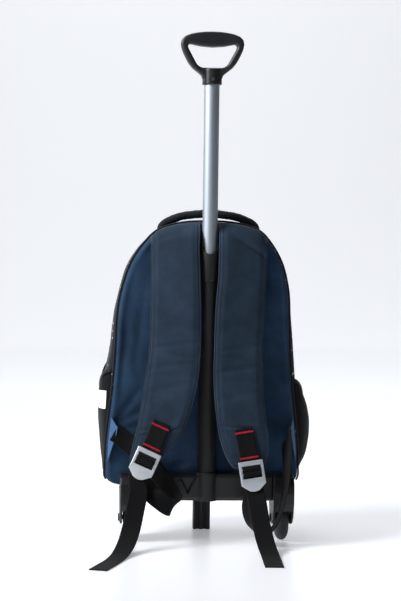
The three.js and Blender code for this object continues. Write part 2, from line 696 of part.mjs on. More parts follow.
function gripHole() {
  const bottom = gripTopZ - gripHeight * 0.68;
  const barUnder = gripTopZ - gripBarThickness - 1;
  const shoulder = gripWidth / 2 - gripArmThickness;
  const hole = new THREE.Shape();
  hole.moveTo(-0.3 * gripWidth / 2, bottom);
  hole.lineTo(0.3 * gripWidth / 2, bottom);
  hole.quadraticCurveTo(0.42 * gripWidth / 2, bottom + 1, 0.5 * gripWidth / 2, bottom + 6);
  hole.lineTo(shoulder - 4, barUnder - 6);
  hole.quadraticCurveTo(shoulder + 2, barUnder + 3, shoulder - 5, barUnder + 5);
  hole.quadraticCurveTo(0, barUnder - 5, -shoulder + 5, barUnder + 5);
  hole.quadraticCurveTo(-shoulder - 2, barUnder + 3, -shoulder + 4, barUnder - 6);
  hole.lineTo(-0.5 * gripWidth / 2, bottom + 6);
  hole.quadraticCurveTo(-0.42 * gripWidth / 2, bottom + 1, -0.3 * gripWidth / 2, bottom);
  return hole;
}

function makeHandle() {
  const neckZ = gripTopZ - gripHeight;
  const topZ = neckZ + gripSocketDepth - seatGap;
  addPiece('handle_tube',
    turned(pipeProfile(tubeRadius - tubeWall, tubeRadius, topZ - tubeLength, topZ), 0, tubeY),
    'aluminium');

  const right = gripEdge.map(({ half, rise }) => new THREE.Vector2(
    (half * gripWidth) / 2, neckZ + rise * gripHeight));
  const left = [...right].reverse().map((p) => new THREE.Vector2(-p.x, p.y));
  const smooth = new THREE.SplineCurve([...right, ...left]).getPoints(30);
  const shape = new THREE.Shape(smooth);
  shape.holes.push(gripHole());
  const bevel = 3.5;
  const body = new THREE.ExtrudeGeometry(shape, {
    depth: gripDepth - 2 * bevel,
    bevelEnabled: true,
    bevelThickness: bevel,
    bevelSize: bevel,
    bevelOffset: -bevel,
    bevelSegments: 2,
    curveSegments: 4,
  }).rotateX(Math.PI / 2).translate(0, tubeY + gripDepth / 2 - bevel, 0);
  const neck = cylinderZ(gripNeckRadius, 0, tubeY, neckZ, neckZ + gripNeckHeight);
  const socket = cylinderZ(tubeRadius + seatGap, 0, tubeY, neckZ - gripHeight, neckZ + gripSocketDepth);
  const screwZ = neckZ + gripNeckHeight / 3;
  const screwHole = new THREE.CylinderGeometry(gripScrewRadius + seatGap, gripScrewRadius + seatGap,
    gripScrewHead, 16).translate(0, tubeY - gripNeckRadius + gripScrewHead / 2, screwZ);
  const grip = toSolid(body).add(toSolid(neck)).subtract(toSolid(socket)).subtract(toSolid(screwHole));
  addPiece('handle_grip', toGeometry(grip), 'blackPlastic');
  const screw = new THREE.CylinderGeometry(gripScrewRadius, gripScrewRadius, gripScrewHead, 16)
    .translate(0, tubeY - gripNeckRadius + gripScrewHead / 2 - seatGap, screwZ);
  addPiece('grip_screw', screw, 'zinc');
}

// Shoulder straps

function strapRow(side, row) {
  const z = bagBottomZ + bagHeight - strapSeamDrop - row.drop * strapDrop;
  const tilt = (row.slope * strapDrop) / 2;
  return {
    inner: vec(side * row.inner * strapWidth, backFaceY - row.front * strapStandoff, z + tilt),
    outer: vec(side * row.outer * strapWidth, backFaceY - row.back * strapStandoff, z - tilt),
  };
}

// Half the strap's section, from one edge to the other: across is a share of the half width.
const strapSection = [
  { across: -1.0, lift: 0.0 },
  { across: -0.94, lift: 0.62 },
  { across: -0.78, lift: 0.92 },
  { across: -0.4, lift: 1.0 },
  { across: 0.4, lift: 1.0 },
  { across: 0.78, lift: 0.92 },
  { across: 0.94, lift: 0.62 },
  { across: 1.0, lift: 0.0 },
];

function strapFrames(name, side) {
  const rows = strapTables[name].map((row) => strapRow(side, row));
  return rows.map(({ inner, outer }, i) => {
    const above = rows[Math.max(i - 1, 0)];
    const below = rows[Math.min(i + 1, rows.length - 1)];
    const centre = inner.clone().add(outer).multiplyScalar(0.5);
    const across = outer.clone().sub(inner).multiplyScalar(0.5);
    const down = below.inner.clone().add(below.outer).sub(above.inner).sub(above.outer).normalize();
    const out = across.clone().cross(down).normalize();
    if (out.y > 0) out.negate();
    return { centre, across, down, out };
  });
}

function strapRing({ centre, across, out }, thickness) {
  const place = ({ across: share, lift }, face) => centre.clone()
    .addScaledVector(across, share)
    .addScaledVector(out, (face * lift * thickness) / 2);
  const front = strapSection.map((point) => place(point, 1));
  const back = strapSection.slice(1, -1).reverse().map((point) => place(point, -1));
  return [...front, ...back];
}

function makeStrap(name, side) {
  const frames = strapFrames(name, side);
  const rings = frames.map((frame, i) => strapRing(frame, i === 0 || i === frames.length - 1
    ? strapThickness * 0.55 : strapThickness));
  addPiece(`shoulder_strap_${name}`, loft(rings), 'strapCloth');
  return frames;
}

// Webbing: a flat band swept through points, each with its direction across the web.

function ribbon(points, acrosses, width = webWidth, thickness = webThickness, stepsPerSpan = 2) {
  const path = new THREE.CatmullRomCurve3(points, false, 'centripetal');
  const turn = new THREE.CatmullRomCurve3(acrosses, false, 'centripetal');
  const count = (points.length - 1) * stepsPerSpan;
  const rings = Array.from({ length: count + 1 }, (_, i) => {
    const share = i / count;
    const centre = path.getPoint(share);
    const along = path.getTangent(share);
    const across = turn.getPoint(share);
    across.addScaledVector(along, -across.dot(along)).normalize();
    const out = along.clone().cross(across).normalize();
    return [[-1, -1], [1, -1], [1, 1], [-1, 1]].map(([a, b]) => centre.clone()
      .addScaledVector(across, (a * width) / 2)
      .addScaledVector(out, (b * thickness) / 2));
  });
  return loft(rings, [2]);
}

// A buckle's own frame: u across, v up the strap from the tip of the tab, w out to the front.
function buckleFrame(frames, { overlap, turn, aside }) {
  const end = frames.at(-1).centre.clone().add(vec(aside, 0, 0));
  const last = frames.at(-3);
  const out = last.out.clone();
  const up = last.down.clone().negate().applyAxisAngle(out, turn);
  const across = up.clone().cross(out).normalize();
  const tip = end.addScaledVector(up, overlap - buckleLength).addScaledVector(out, buckleProud);
  return { tip, up, out, across };
}

function inBuckle(frame, u, v, w) {
  return frame.tip.clone()
    .addScaledVector(frame.across, u)
    .addScaledVector(frame.up, v)
    .addScaledVector(frame.out, w);
}

const windowTop = buckleLength - buckleTopBar;
const windowBottom = windowTop - buckleWindow;
const upperRod = windowTop - upperSlot - rodHeight; // lower edges of the two bars
const lowerRod = upperRod - middleSlot - rodHeight;

function rectangle(half, low, high) {
  const hole = new THREE.Path();
  hole.moveTo(-half, low);
  hole.lineTo(half, low);
  hole.lineTo(half, high);
  hole.lineTo(-half, high);
  hole.lineTo(-half, low);
  return hole;
}

function makeBuckle(name, frame) {
  const half = buckleWidth / 2;
  const shape = new THREE.Shape();
  const corner = 1.5;
  shape.moveTo(-half + corner, buckleLength);
  shape.lineTo(-half, buckleLength - corner);
  shape.lineTo(-half, shoulderHeight);
  shape.lineTo(-half + corner, shoulderHeight - corner);
  shape.lineTo(-0.4 * half, 0.14 * shoulderHeight);
  shape.quadraticCurveTo(-0.2 * half, 0, 0, 0);
  shape.quadraticCurveTo(0.2 * half, 0, 0.4 * half, 0.14 * shoulderHeight);
  shape.lineTo(half - corner, shoulderHeight - corner);
  shape.lineTo(half, shoulderHeight);
  shape.lineTo(half, buckleLength - corner);
  shape.lineTo(half - corner, buckleLength);
  const slotHalf = webWidth / 2 + 2 * seatGap;
  shape.holes.push(rectangle(slotHalf, windowBottom, lowerRod));
  shape.holes.push(rectangle(slotHalf, lowerRod + rodHeight, upperRod));
  shape.holes.push(rectangle(slotHalf, upperRod + rodHeight, windowTop));
  const geometry = new THREE.ExtrudeGeometry(shape, {
    depth: buckleThickness, bevelEnabled: false, curveSegments: 4,
  }).translate(0, 0, -buckleThickness / 2);
  const place = new THREE.Matrix4().makeBasis(frame.across, frame.up, frame.out).setPosition(frame.tip);
  addPiece(`buckle_${name}`, geometry.applyMatrix4(place), 'zinc');
}

// The patch is sewn on the strap, passes behind the buckle's top bar, turns round the upper
// rod inside the window and goes back up behind itself.
function makePatch(name, frame, surface) {
  const reach = buckleThickness / 2 + webThickness / 2 + 1.6 * seatGap;
  const second = reach + webThickness + seatGap;
  const rodTop = upperRod + rodHeight;
  const points = [
    [buckleLength + 3, -reach],
    [windowTop + 0.4, -reach - 0.1],
    [windowTop - 1.1, -reach + 0.5],
    [windowTop - upperSlot / 2, -0.5],
    [rodTop + 1.1, reach - 0.8],
    [rodTop - 0.2, reach],
    [upperRod, reach],
    [upperRod - 1.3, reach - 0.7],
    [upperRod - webThickness - 0.2, 0],
    [upperRod - 1.3, 0.7 - reach],
    [upperRod + 0.4, -reach - 0.1],
    [rodTop, 0.2 - second],
    [windowTop + 2, -second],
    [buckleLength + 4, -second],
  ].map(([v, w]) => inBuckle(frame, 0, v, w));
  const top = surface.addScaledVector(frame.out, 2 * seatGap + webThickness / 2);
  points.unshift(top, top.clone().lerp(points[0], 0.55));
  addPiece(`strap_patch_${name}`, ribbon(points, points.map(() => frame.across), webWidth, webThickness, 3),
    'webbing');
}

// From the side tab down into its loop, up behind the buckle, over the lower rod and down.
function makeWebbing(name, frame) {
  const { down, up, fall } = webRoutes[name];
  const behind = buckleThickness / 2 + webThickness / 2 + seatGap + 0.3;
  const loadGap = webThickness + 0.7;
  const rodTop = lowerRod + rodHeight;
  const threaded = [
    [6, -behind - loadGap - 2],
    [windowBottom + 2, -behind - loadGap],
    [rodTop - 1.5, -behind - 0.8],
    [rodTop + 1, -behind + 0.5],
    [rodTop + webThickness + 0.1, -0.4],
    [rodTop + 1.1, behind - 0.8],
    [rodTop - 0.2, behind],
    [lowerRod + 0.2, behind],
    [lowerRod - 1.2, behind - 0.8],
    [lowerRod - webThickness - 0.3, 0],
    [lowerRod - 1.8, -behind + 0.6],
    [windowBottom + 1, -behind - 0.1],
    [windowBottom / 2, -behind - 0.1],
    [1, -behind - 0.3],
  ].map(([v, w]) => inBuckle(frame, 0, v, w));
  const along = frame.across.clone().multiplyScalar(frame.across.x < 0 ? -1 : 1);
  const place = (full) => ({ side, forward, height }) => vec(
    side * bagHalfWidth, backFaceY - forward * strapStandoff, height * full);
  const nearBuckle = place(frame.tip.z);
  const points = [...down.map(place(tabTopZ)), ...up.map(nearBuckle), ...threaded, ...fall.map(nearBuckle)];
  const acrosses = [
    ...[...down, ...up].map((p) => vec(...p.across)), ...threaded.map(() => along),
    ...fall.map((p) => vec(...p.across)),
  ];
  addPiece(`adjuster_webbing_${name}`, ribbon(points, acrosses), 'webbing');
}

// A triangle of cloth sewn into the side seam, which holds the end of the webbing.
function makeTab(name, side) {
  const edgeX = (z) => {
    const ring = offsetRing(panelOutline, -panelEdgeRound / 2);
    const below = ring.filter((p) => side * p.x > 0);
    const near = below.reduce((best, p) => (Math.abs(p.z - z) < Math.abs(best.z - z) ? p : best));
    return near.x;
  };
  const y = backFaceY - seatGap - tabThickness / 2;
  const edgeY = y + seatGap;
  const bottomZ = tabTopZ - tabHeight;
  const corners = [
    vec(edgeX(tabTopZ), edgeY, tabTopZ),
    vec(edgeX(bottomZ), edgeY, bottomZ),
    vec(edgeX(tabTopZ - tabHeight / 2) - side * tabReach, y - tabReach / 2, tabTopZ - tabHeight / 2 + 12),
    vec(edgeX(tabTopZ - tabHeight / 3) - side * tabReach, y - tabReach / 2, tabTopZ - tabHeight / 2 + 22),
  ];
  const normal = corners[2].clone().sub(corners[0]).cross(corners[1].clone().sub(corners[0])).normalize();
  const rings = [-0.5, 0.5].map((share) => corners.map((p) => p.clone()
    .addScaledVector(normal, share * tabThickness)));
  addPiece(`side_tab_${name}`, loft(rings), 'tabCloth');
}

function makeHarness() {
  for (const [name, side] of [['left', -1], ['right', 1]]) {
    const frames = makeStrap(name, side);
    const frame = buckleFrame(frames, buckleSeats[name]);
    const [above, below] = [frames.at(-4), frames.at(-3)];
    const surface = above.centre.clone().lerp(below.centre, buckleSeats[name].patch)
      .addScaledVector(above.out, strapThickness / 2);
    makeBuckle(name, frame);
    makePatch(name, frame, surface);
    makeWebbing(name, frame);
    makeTab(name, side);
  }
}

// Chassis

function makeBeam() {
  const frontY = backFaceY - 2 * seatGap;
  const half = wheelCentreX - wheelWidth / 2 - runGap - cheekWall - seatGap;
  const round = 6;
  const profile = [
    [frontY, beamBottomZ], [frontY, forkTopZ], [beamRearY + round, forkTopZ],
    [beamRearY + round / 3, forkTopZ - round / 3], [beamRearY, forkTopZ - round],
    [beamRearY, beamBottomZ + round], [beamRearY + round, beamBottomZ],
  ];
  const sleeveOutside = tubeRadius + seatGap + sleeveWall;
  const boss = cylinderZ(sleeveOutside + seatGap + bossWall, 0, tubeY, beamBottomZ, forkTopZ + 2);
  const behind = box([-half, frontY, 0], [half, 0, 2 * forkTopZ]);
  const socket = cylinderZ(sleeveOutside + seatGap, 0, tubeY, sleeveBottomZ - seatGap, 2 * forkTopZ);
  let beam = toSolid(prismX(profile, -half, half)).add(toSolid(boss));
  for (const lean of [-1, 1]) {
    const rib = box([-1.5, -4, -14], [1.5, 3, 14]).rotateY(lean * 0.42)
      .translate(-32 + lean * 6, beamRearY, (beamBottomZ + forkTopZ) / 2);
    beam = beam.add(toSolid(rib));
  }
  beam = beam.subtract(toSolid(behind)).subtract(toSolid(socket));
  addPiece('chassis_beam', toGeometry(beam), 'blackPlastic');
}

function makeTray() {
  const topZ = bagBottomZ - seatGap;
  const shape = new THREE.Shape();
  const corner = 26;
  const backY = backFaceY - seatGap;
  const half = trayHalfWidth;
  shape.moveTo(-half, backY);
  shape.lineTo(half, backY);
  shape.lineTo(half, trayFrontY - corner);
  shape.quadraticCurveTo(half, trayFrontY, half - corner, trayFrontY);
  shape.lineTo(-half + corner, trayFrontY);
  shape.quadraticCurveTo(-half, trayFrontY, -half, trayFrontY - corner);
  const geometry = new THREE.ExtrudeGeometry(shape, { depth: trayThickness, bevelEnabled: false, curveSegments: 5 })
    .translate(0, 0, topZ - trayThickness);
  addPiece('chassis_tray', geometry, 'blackPlastic');
}

function makeFoot() {
  const topZ = bagBottomZ - 2 * seatGap - trayThickness;
  const [halfX, halfY] = [footWidth / 2, footDepth / 2];
  const rib = footGroove / 2;
  const grooves = [-halfX + footGroove + 1, rib];
  const rear = grooves.flatMap((x) => [
    [x, -halfY], [x, -halfY + footGroove], [x + footGroove + 1, -halfY + footGroove], [x + footGroove + 1, -halfY],
  ]);
  const points = [[-halfX, -halfY + 2], [-halfX + 2, -halfY], ...rear,
    [halfX - 2, -halfY], [halfX, -halfY + 2], [halfX, halfY], [-halfX, halfY]];
  const shape = new THREE.Shape(points.map(([x, y]) => new THREE.Vector2(x, y)));
  const geometry = new THREE.ExtrudeGeometry(shape, { depth: topZ, bevelEnabled: false });
  addPiece('support_foot', geometry, 'blackPlastic');
}

function makeFork(name, side) {
  const innerX = wheelCentreX - wheelWidth / 2 - runGap - cheekWall;
  const outerX = wheelCentreX + wheelWidth / 2 + runGap + cheekWall;
  const lipY = backFaceY - 2 * seatGap;
  const roofZ = bagBottomZ - 2 * seatGap - trayThickness;
  const profile = [
    [lipY, forkTopZ], [forkRearY + 22, forkTopZ], [forkRearY + 9, forkTopZ - 5],
    [forkRearY + 2, forkTopZ - 16], [forkRearY, forkTopZ - 30], [forkRearY + 1, forkTopZ - 48],
    [forkRearY + 10, forkBottomZ + 14], [forkRearY + 24, forkBottomZ + 3], [wheelY - 8, forkBottomZ],
    [wheelY + 8, forkBottomZ], [wheelY + 22, forkBottomZ + 8], [forkFrontY - 4, roofZ - 18],
    [forkFrontY, roofZ - 6], [forkFrontY, roofZ], [lipY, roofZ],
  ];
  const [low, high] = side < 0 ? [-outerX, -innerX] : [innerX, outerX];
  const well = cylinderX(wheelRadius + 3.5, low + cheekWall, high - cheekWall, wheelY, wheelRadius, 40);
  const opening = box([low + cheekWall, forkRearY + 12, -wheelRadius],
    [high - cheekWall, forkFrontY + 2 * runGap, wheelRadius]);
  const bore = cylinderX(axleRadius + seatGap, low - 1, high + 1, wheelY, wheelRadius, 24);
  const fork = toSolid(prismX(profile, low, high)).subtract(toSolid(well)).subtract(toSolid(opening))
    .subtract(toSolid(bore));
  addPiece(`wheel_fork_${name}`, toGeometry(fork), 'blackPlastic');
}

// Turned pieces on the wheel's own axis: radius and place along X from the wheel's middle.
function wheelTurned(profile, side, sides) {
  const points = profile.map(([radius, x]) => new THREE.Vector2(radius, x));
  return new THREE.LatheGeometry(points, sides).rotateZ(-Math.PI / 2)
    .translate(side * wheelCentreX, wheelY, wheelRadius);
}

function makeWheel(name, side) {
  const half = wheelWidth / 2;
  const round = 3;
  const tyre = wheelTurned([
    [hubRadius, -half + 1], [wheelRadius - round, -half], [wheelRadius - 0.8, -half + round * 0.7],
    [wheelRadius, -half + 2 * round], [wheelRadius, half - 2 * round],
    [wheelRadius - 0.8, half - round * 0.7], [wheelRadius - round, half], [hubRadius, half - 1],
    [hubRadius, -half + 1],
  ], side, 30);
  addPiece(`wheel_tyre_${name}`, tyre, 'tyre');
  const bore = axleRadius + seatGap;
  const rim = hubRadius - seatGap;
  const hub = wheelTurned([
    [bore, -half], [bore + 5, -half], [bore + 6, -half + 5], [rim - 4, -half + 5], [rim - 3, -half + 1],
    [rim, -half + 1], [rim, half - 1], [rim - 3, half - 1], [rim - 4, half - 5], [bore + 6, half - 5],
    [bore + 5, half], [bore, half], [bore, -half],
  ], side, 24);
  addPiece(`wheel_hub_${name}`, hub, 'blackPlastic');
  const cheek = half + runGap + cheekWall + seatGap;
  const axle = wheelTurned([
    [0, -cheek - axleHeadThickness], [axleHead - 1, -cheek - axleHeadThickness], [axleHead, -cheek],
    [axleRadius, -cheek], [axleRadius, cheek], [axleHead, cheek],
    [axleHead - 1, cheek + axleHeadThickness], [0, cheek + axleHeadThickness],
  ], side, 16);
  addPiece(`wheel_axle_${name}`, axle, 'zinc');
}

makeBagShell();
makeBackPanel();
makePiping();
makePockets();
makeZip();
makeGrabHandle();
makeSleeve();
makeHandle();
makeHarness();
makeBeam();
makeTray();
makeFoot();
for (const [name, side] of [['left', -1], ['right', 1]]) {
  makeFork(name, side);
  makeWheel(name, side);
}

export default model;
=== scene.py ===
# %% [markdown]
# # A wheeled backpack
# This lesson dresses a school trolley bag: a soft bag with padded shoulder straps that stands on
# a plastic chassis with two wheels and a foot, with its metal pull handle drawn out. The exact
# model from the CAD step is the frame, and it never moves. Each soft piece is built again here
# with folds, seams and a woven finish, and each hard one gets a rounder mesh or a better finish.
# All lengths in this file are millimetres until a mesh is made, where they become metres.

# %% Load the frame
import math
import bpy
import bmesh
import numpy as np
from mathutils import Matrix, Vector, noise


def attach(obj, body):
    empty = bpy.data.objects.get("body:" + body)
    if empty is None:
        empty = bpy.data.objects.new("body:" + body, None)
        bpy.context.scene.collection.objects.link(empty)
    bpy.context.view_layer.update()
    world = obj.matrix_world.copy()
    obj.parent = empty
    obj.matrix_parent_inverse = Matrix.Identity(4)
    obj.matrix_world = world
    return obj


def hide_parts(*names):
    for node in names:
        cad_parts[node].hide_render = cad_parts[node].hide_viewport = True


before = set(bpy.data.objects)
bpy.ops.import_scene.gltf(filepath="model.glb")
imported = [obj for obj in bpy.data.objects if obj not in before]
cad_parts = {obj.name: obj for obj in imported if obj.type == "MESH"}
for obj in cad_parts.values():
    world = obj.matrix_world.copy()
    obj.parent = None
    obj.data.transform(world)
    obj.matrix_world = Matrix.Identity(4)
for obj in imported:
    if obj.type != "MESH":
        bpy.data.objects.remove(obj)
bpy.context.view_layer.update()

# %% [markdown]
# ## Small tools
# A mesh in Blender is a list of points and a list of faces. One helper turns both into an object
# that is shaded smooth. Its texture coordinates are kept in metres, so that a thread spacing in
# a material is a real one.

# %% Turn points into objects
MM = 0.001


def piece(name, points, faces, uvs=None, sharp=None):
    """Make an object from points in millimetres, smooth shaded, with uvs in millimetres."""
    mesh = bpy.data.meshes.new(name)
    mesh.from_pydata((np.asarray(points, float) * MM).tolist(), [], faces)
    mesh.update()
    mesh.polygons.foreach_set("use_smooth", [True] * len(mesh.polygons))
    if sharp:
        mesh.set_sharp_from_angle(angle=math.radians(sharp))
    if uvs is not None:
        layer = mesh.uv_layers.new(name="cloth")
        corners = np.zeros(len(mesh.loops), int)
        mesh.loops.foreach_get("vertex_index", corners)
        layer.data.foreach_set("uv", (np.asarray(uvs, float)[corners] * MM).ravel())
    made = bpy.data.objects.new(name, mesh)
    bpy.context.scene.collection.objects.link(made)
    return made


print("one millimetre is", MM, "of Blender's metres")

# %% [markdown]
# Every mesh below is a grid or a row of rings of points. These helpers knit neighbouring points
# into four-sided faces, close a row of rings into a skin, and turn all faces of a closed mesh
# outward, which light and bevels need.

# %% Knit points into faces
def grid_faces(rows, columns, wrap=False):
    """Knit a grid of rows x columns points into four-sided faces."""
    last = columns if wrap else columns - 1
    return [(i * columns + j, i * columns + (j + 1) % columns,
             (i + 1) * columns + (j + 1) % columns, (i + 1) * columns + j)
            for i in range(rows - 1) for j in range(last)]


def ring_faces(rows, columns):
    """Knit a grid that closes on itself both ways, as the skin of a ring does."""
    first = (rows - 1) * columns
    return grid_faces(rows, columns, wrap=True) + [
        (first + j, first + (j + 1) % columns, (j + 1) % columns, j) for j in range(columns)]


def face_outward(made):
    """Let all faces of a closed mesh look outward."""
    mesh = bmesh.new()
    mesh.from_mesh(made.data)
    bmesh.ops.recalc_face_normals(mesh, faces=mesh.faces)
    mesh.to_mesh(made.data)
    mesh.free()
    return made


def skin(name, rings, uvs=None, sharp=None):
    """Close a row of rings of points into a skin with an end face at each end."""
    rings = np.asarray(rings, float)
    rows, columns = rings.shape[:2]
    faces = grid_faces(rows, columns, wrap=True)
    faces.append(tuple(range(columns))[::-1])
    faces.append(tuple(range((rows - 1) * columns, rows * columns)))
    return face_outward(piece(name, rings.reshape(-1, 3), faces, uvs, sharp))


print("faces of a 3 x 4 grid:", len(grid_faces(3, 4)), "and of a ring:", len(ring_faces(3, 4)))

# %% [markdown]
# Cloth edges, webbing and wire all follow smooth curves through a few known points. The curve
# here is the centripetal Catmull-Rom curve, which passes through every point and makes no loops
# between them. It is the curve that the CAD step used, so both models share their outlines.

# %% Draw smooth curves
def curve_at(points, shares, closed=False):
    """Points on the centripetal Catmull-Rom curve at shares from 0 to 1."""
    points = np.asarray(points, float)
    count = len(points)
    found = []
    for share in shares:
        place = share * (count if closed else count - 1)
        i = int(min(math.floor(place), count - 1 if closed else count - 2))
        w = place - i
        b, c = points[i % count], points[(i + 1) % count]
        a = points[i - 1] if closed or i > 0 else 2 * b - c
        d = points[(i + 2) % count] if closed or i + 2 < count else 2 * c - b
        ab, bc, cd = (max(np.linalg.norm(q - p), 1e-6) ** 0.5 for p, q in ((a, b), (b, c), (c, d)))
        first = ((b - a) / ab - (c - a) / (ab + bc) + (c - b) / bc) * bc
        second = ((c - b) / bc - (d - b) / (bc + cd) + (d - c) / cd) * bc
        found.append(b + w * first + w * w * (3 * (c - b) - 2 * first - second)
                     + w ** 3 * (2 * (b - c) + first + second))
    return np.array(found)


print("middle of a curve over three points:", curve_at([(0, 0), (1, 1), (2, 0)], [0.5]).tolist())

# %% [markdown]
# A curve's shares don't run at an even pace, so its length is measured and it is laid out again
# at equal distances. Two more helpers serve all pieces: a direction of length one, and smooth
# noise whose hills lie a known distance apart, which makes cloth uneven.

# %% Measure lines and make noise
def lengths_along(line):
    """Distance along a line of points, from its first point."""
    steps = np.linalg.norm(np.diff(line, axis=0), axis=1)
    return np.concatenate([[0], np.cumsum(steps)])


def even(points, count, closed=False):
    """The same curve at equal distances."""
    dense = curve_at(points, np.linspace(0, 1, 1200), closed)
    run = lengths_along(dense)
    wanted = np.linspace(0, run[-1], count + 1 if closed else count)[:count]
    return np.stack([np.interp(wanted, run, dense[:, k]) for k in range(dense.shape[1])], axis=1)


def unit(v):
    """The same direction, one long."""
    v = np.asarray(v, float)
    return v / np.maximum(np.linalg.norm(v, axis=-1, keepdims=True), 1e-9)


def bumpy(points, size, seed):
    """Smooth noise from -1 to 1 at each point, with hills about size millimetres apart."""
    return np.array([noise.noise(Vector(p) / size + Vector((seed * 7.3, seed * 3.1, seed * 5.7)))
                     for p in np.asarray(points, float).reshape(-1, 3)])


print("length of a bent line:", round(float(lengths_along(np.array([(0, 0), (3, 4), (3, 9)]))[-1]), 2))

# %% [markdown]
# ## Materials
# A material is a small network of nodes. One function adds a node with its settings and links,
# so each network below reads as a list. Colours are the sRGB values that a paint chart gives;
# Cycles works in linear light, so one function turns them.

# %% Node helpers
def srgb(code):
    """A colour such as '1f4a80' as linear red, green, blue and opacity."""
    parts = [int(code[i:i + 2], 16) / 255 for i in (0, 2, 4)]
    return (*[p / 12.92 if p <= 0.04045 else ((p + 0.055) / 1.055) ** 2.4 for p in parts], 1.0)


def new_material(name):
    """A new material with only its shader and its output."""
    made = bpy.data.materials.new(name)
    made.use_nodes = True
    made.diffuse_color = (0.5, 0.5, 0.5, 1)
    return made


def shader_of(material):
    """The material's Principled shader."""
    return next(n for n in material.node_tree.nodes if n.type == "BSDF_PRINCIPLED")


def add(material, kind, inputs=None, **settings):
    """Add a node. A value in inputs is set on its socket; an output socket is linked to it."""
    node = material.node_tree.nodes.new(kind)
    for key, value in settings.items():
        setattr(node, key, value)
    connect(material, node, inputs or {})
    return node


def connect(material, node, inputs):
    """Set or link the named input sockets of a node."""
    for key, value in inputs.items():
        if isinstance(value, bpy.types.NodeSocket):
            material.node_tree.links.new(value, node.inputs[key])
        else:
            node.inputs[key].default_value = value


print("mid grey in linear light:", round(srgb("808080")[0], 3))

# %% [markdown]
# ### Woven cloth
# The panel, the straps and the bag's sides are woven polyester with a coating on its back. Such
# cloth is a grid of threads about 0.4 mm apart, which a small render can't show, so the grid is
# drawn at a coarser spacing that still reads as cloth. Two waves at right angles make the over
# and under of the threads. Slow noise makes the colour uneven, as dye and handling do, and a
# little sheen lets edges turned away look paler, which is how loose fibre ends catch light.

# %% Make woven cloth
def cloth(name, dark, light, thread=1.1, bump=0.25, sheen=0.25, rough=0.85, flat_map=False):
    """Plain-woven polyester between two colours, with threads thread millimetres apart."""
    made = new_material(name)
    place = add(made, "ShaderNodeTexCoord").outputs["UV" if flat_map else "Object"]
    turns = 2 * math.pi / (thread * MM)
    split = add(made, "ShaderNodeSeparateXYZ", {"Vector": place})
    across, along = ("X", "Y") if flat_map else ("X", "Z")
    waves = []
    for axis in (across, along):
        grown = add(made, "ShaderNodeMath", {0: split.outputs[axis], 1: turns}, operation="MULTIPLY")
        waves.append(add(made, "ShaderNodeMath", {0: grown.outputs[0]}, operation="SINE"))
    weave = add(made, "ShaderNodeMath", {0: waves[0].outputs[0], 1: waves[1].outputs[0]},
                operation="MULTIPLY")
    fuzz = add(made, "ShaderNodeTexNoise", {"Vector": place, "Scale": 900.0, "Detail": 3.0})
    grain = add(made, "ShaderNodeMath", {0: weave.outputs[0], 1: 0.35, 2: fuzz.outputs["Fac"]},
                operation="MULTIPLY_ADD")
    wear = add(made, "ShaderNodeTexNoise", {"Vector": place, "Scale": 14.0, "Detail": 6.0,
                                           "Roughness": 0.6})
    mixed = add(made, "ShaderNodeMath", {0: grain.outputs[0], 1: 0.35, 2: wear.outputs["Fac"]},
                operation="MULTIPLY_ADD")
    ramp = add(made, "ShaderNodeValToRGB", {"Fac": mixed.outputs[0]})
    ramp.color_ramp.elements[0].position, ramp.color_ramp.elements[1].position = 0.42, 0.92
    ramp.color_ramp.elements[0].color = srgb(dark)
    ramp.color_ramp.elements[1].color = srgb(light)
    relief = add(made, "ShaderNodeBump", {"Height": grain.outputs[0], "Strength": bump,
                                         "Distance": 0.3 * MM})
    connect(made, shader_of(made), {
        "Base Color": ramp.outputs["Color"], "Roughness": rough, "IOR": 1.5,
        "Normal": relief.outputs["Normal"], "Sheen Weight": sheen, "Sheen Roughness": 0.5,
        "Specular IOR Level": 0.2,
    })
    made["ramp"] = ramp.name
    return made


panel_cloth = cloth("blue_woven_polyester", "14273b", "27425f", sheen=0.05)
strap_cloth = cloth("slate_woven_polyester", "162230", "2b3d50", thread=1.0, sheen=0.04,
                    flat_map=True)
binding_cloth = cloth("slate_binding_tape", "131d29", "27374a", thread=0.9, bump=0.3)
piping_cloth = cloth("black_piping_tape", "07090c", "191d22", thread=0.9, bump=0.35)
tab_cloth = cloth("pale_blue_woven_polyester", "2c4c70", "4d739c", sheen=0.1)
print("woven cloths:", len([m for m in bpy.data.materials if "woven" in m.name]))

# %% [markdown]
# ### Speckled cloth of the bag's sides
# The bag's sides are the same woven polyester, printed in charcoal with tiny white specks, and
# the lowest strip is plain blue. A Voronoi texture scatters one point in each cell of 6.5 mm.
# Only points whose cell colour is high become a speck, so they are sparse and uneven.

# %% Make the speckled cloth
SPECK_SPACING, BLUE_STRIP_TOP = 6.5, 128


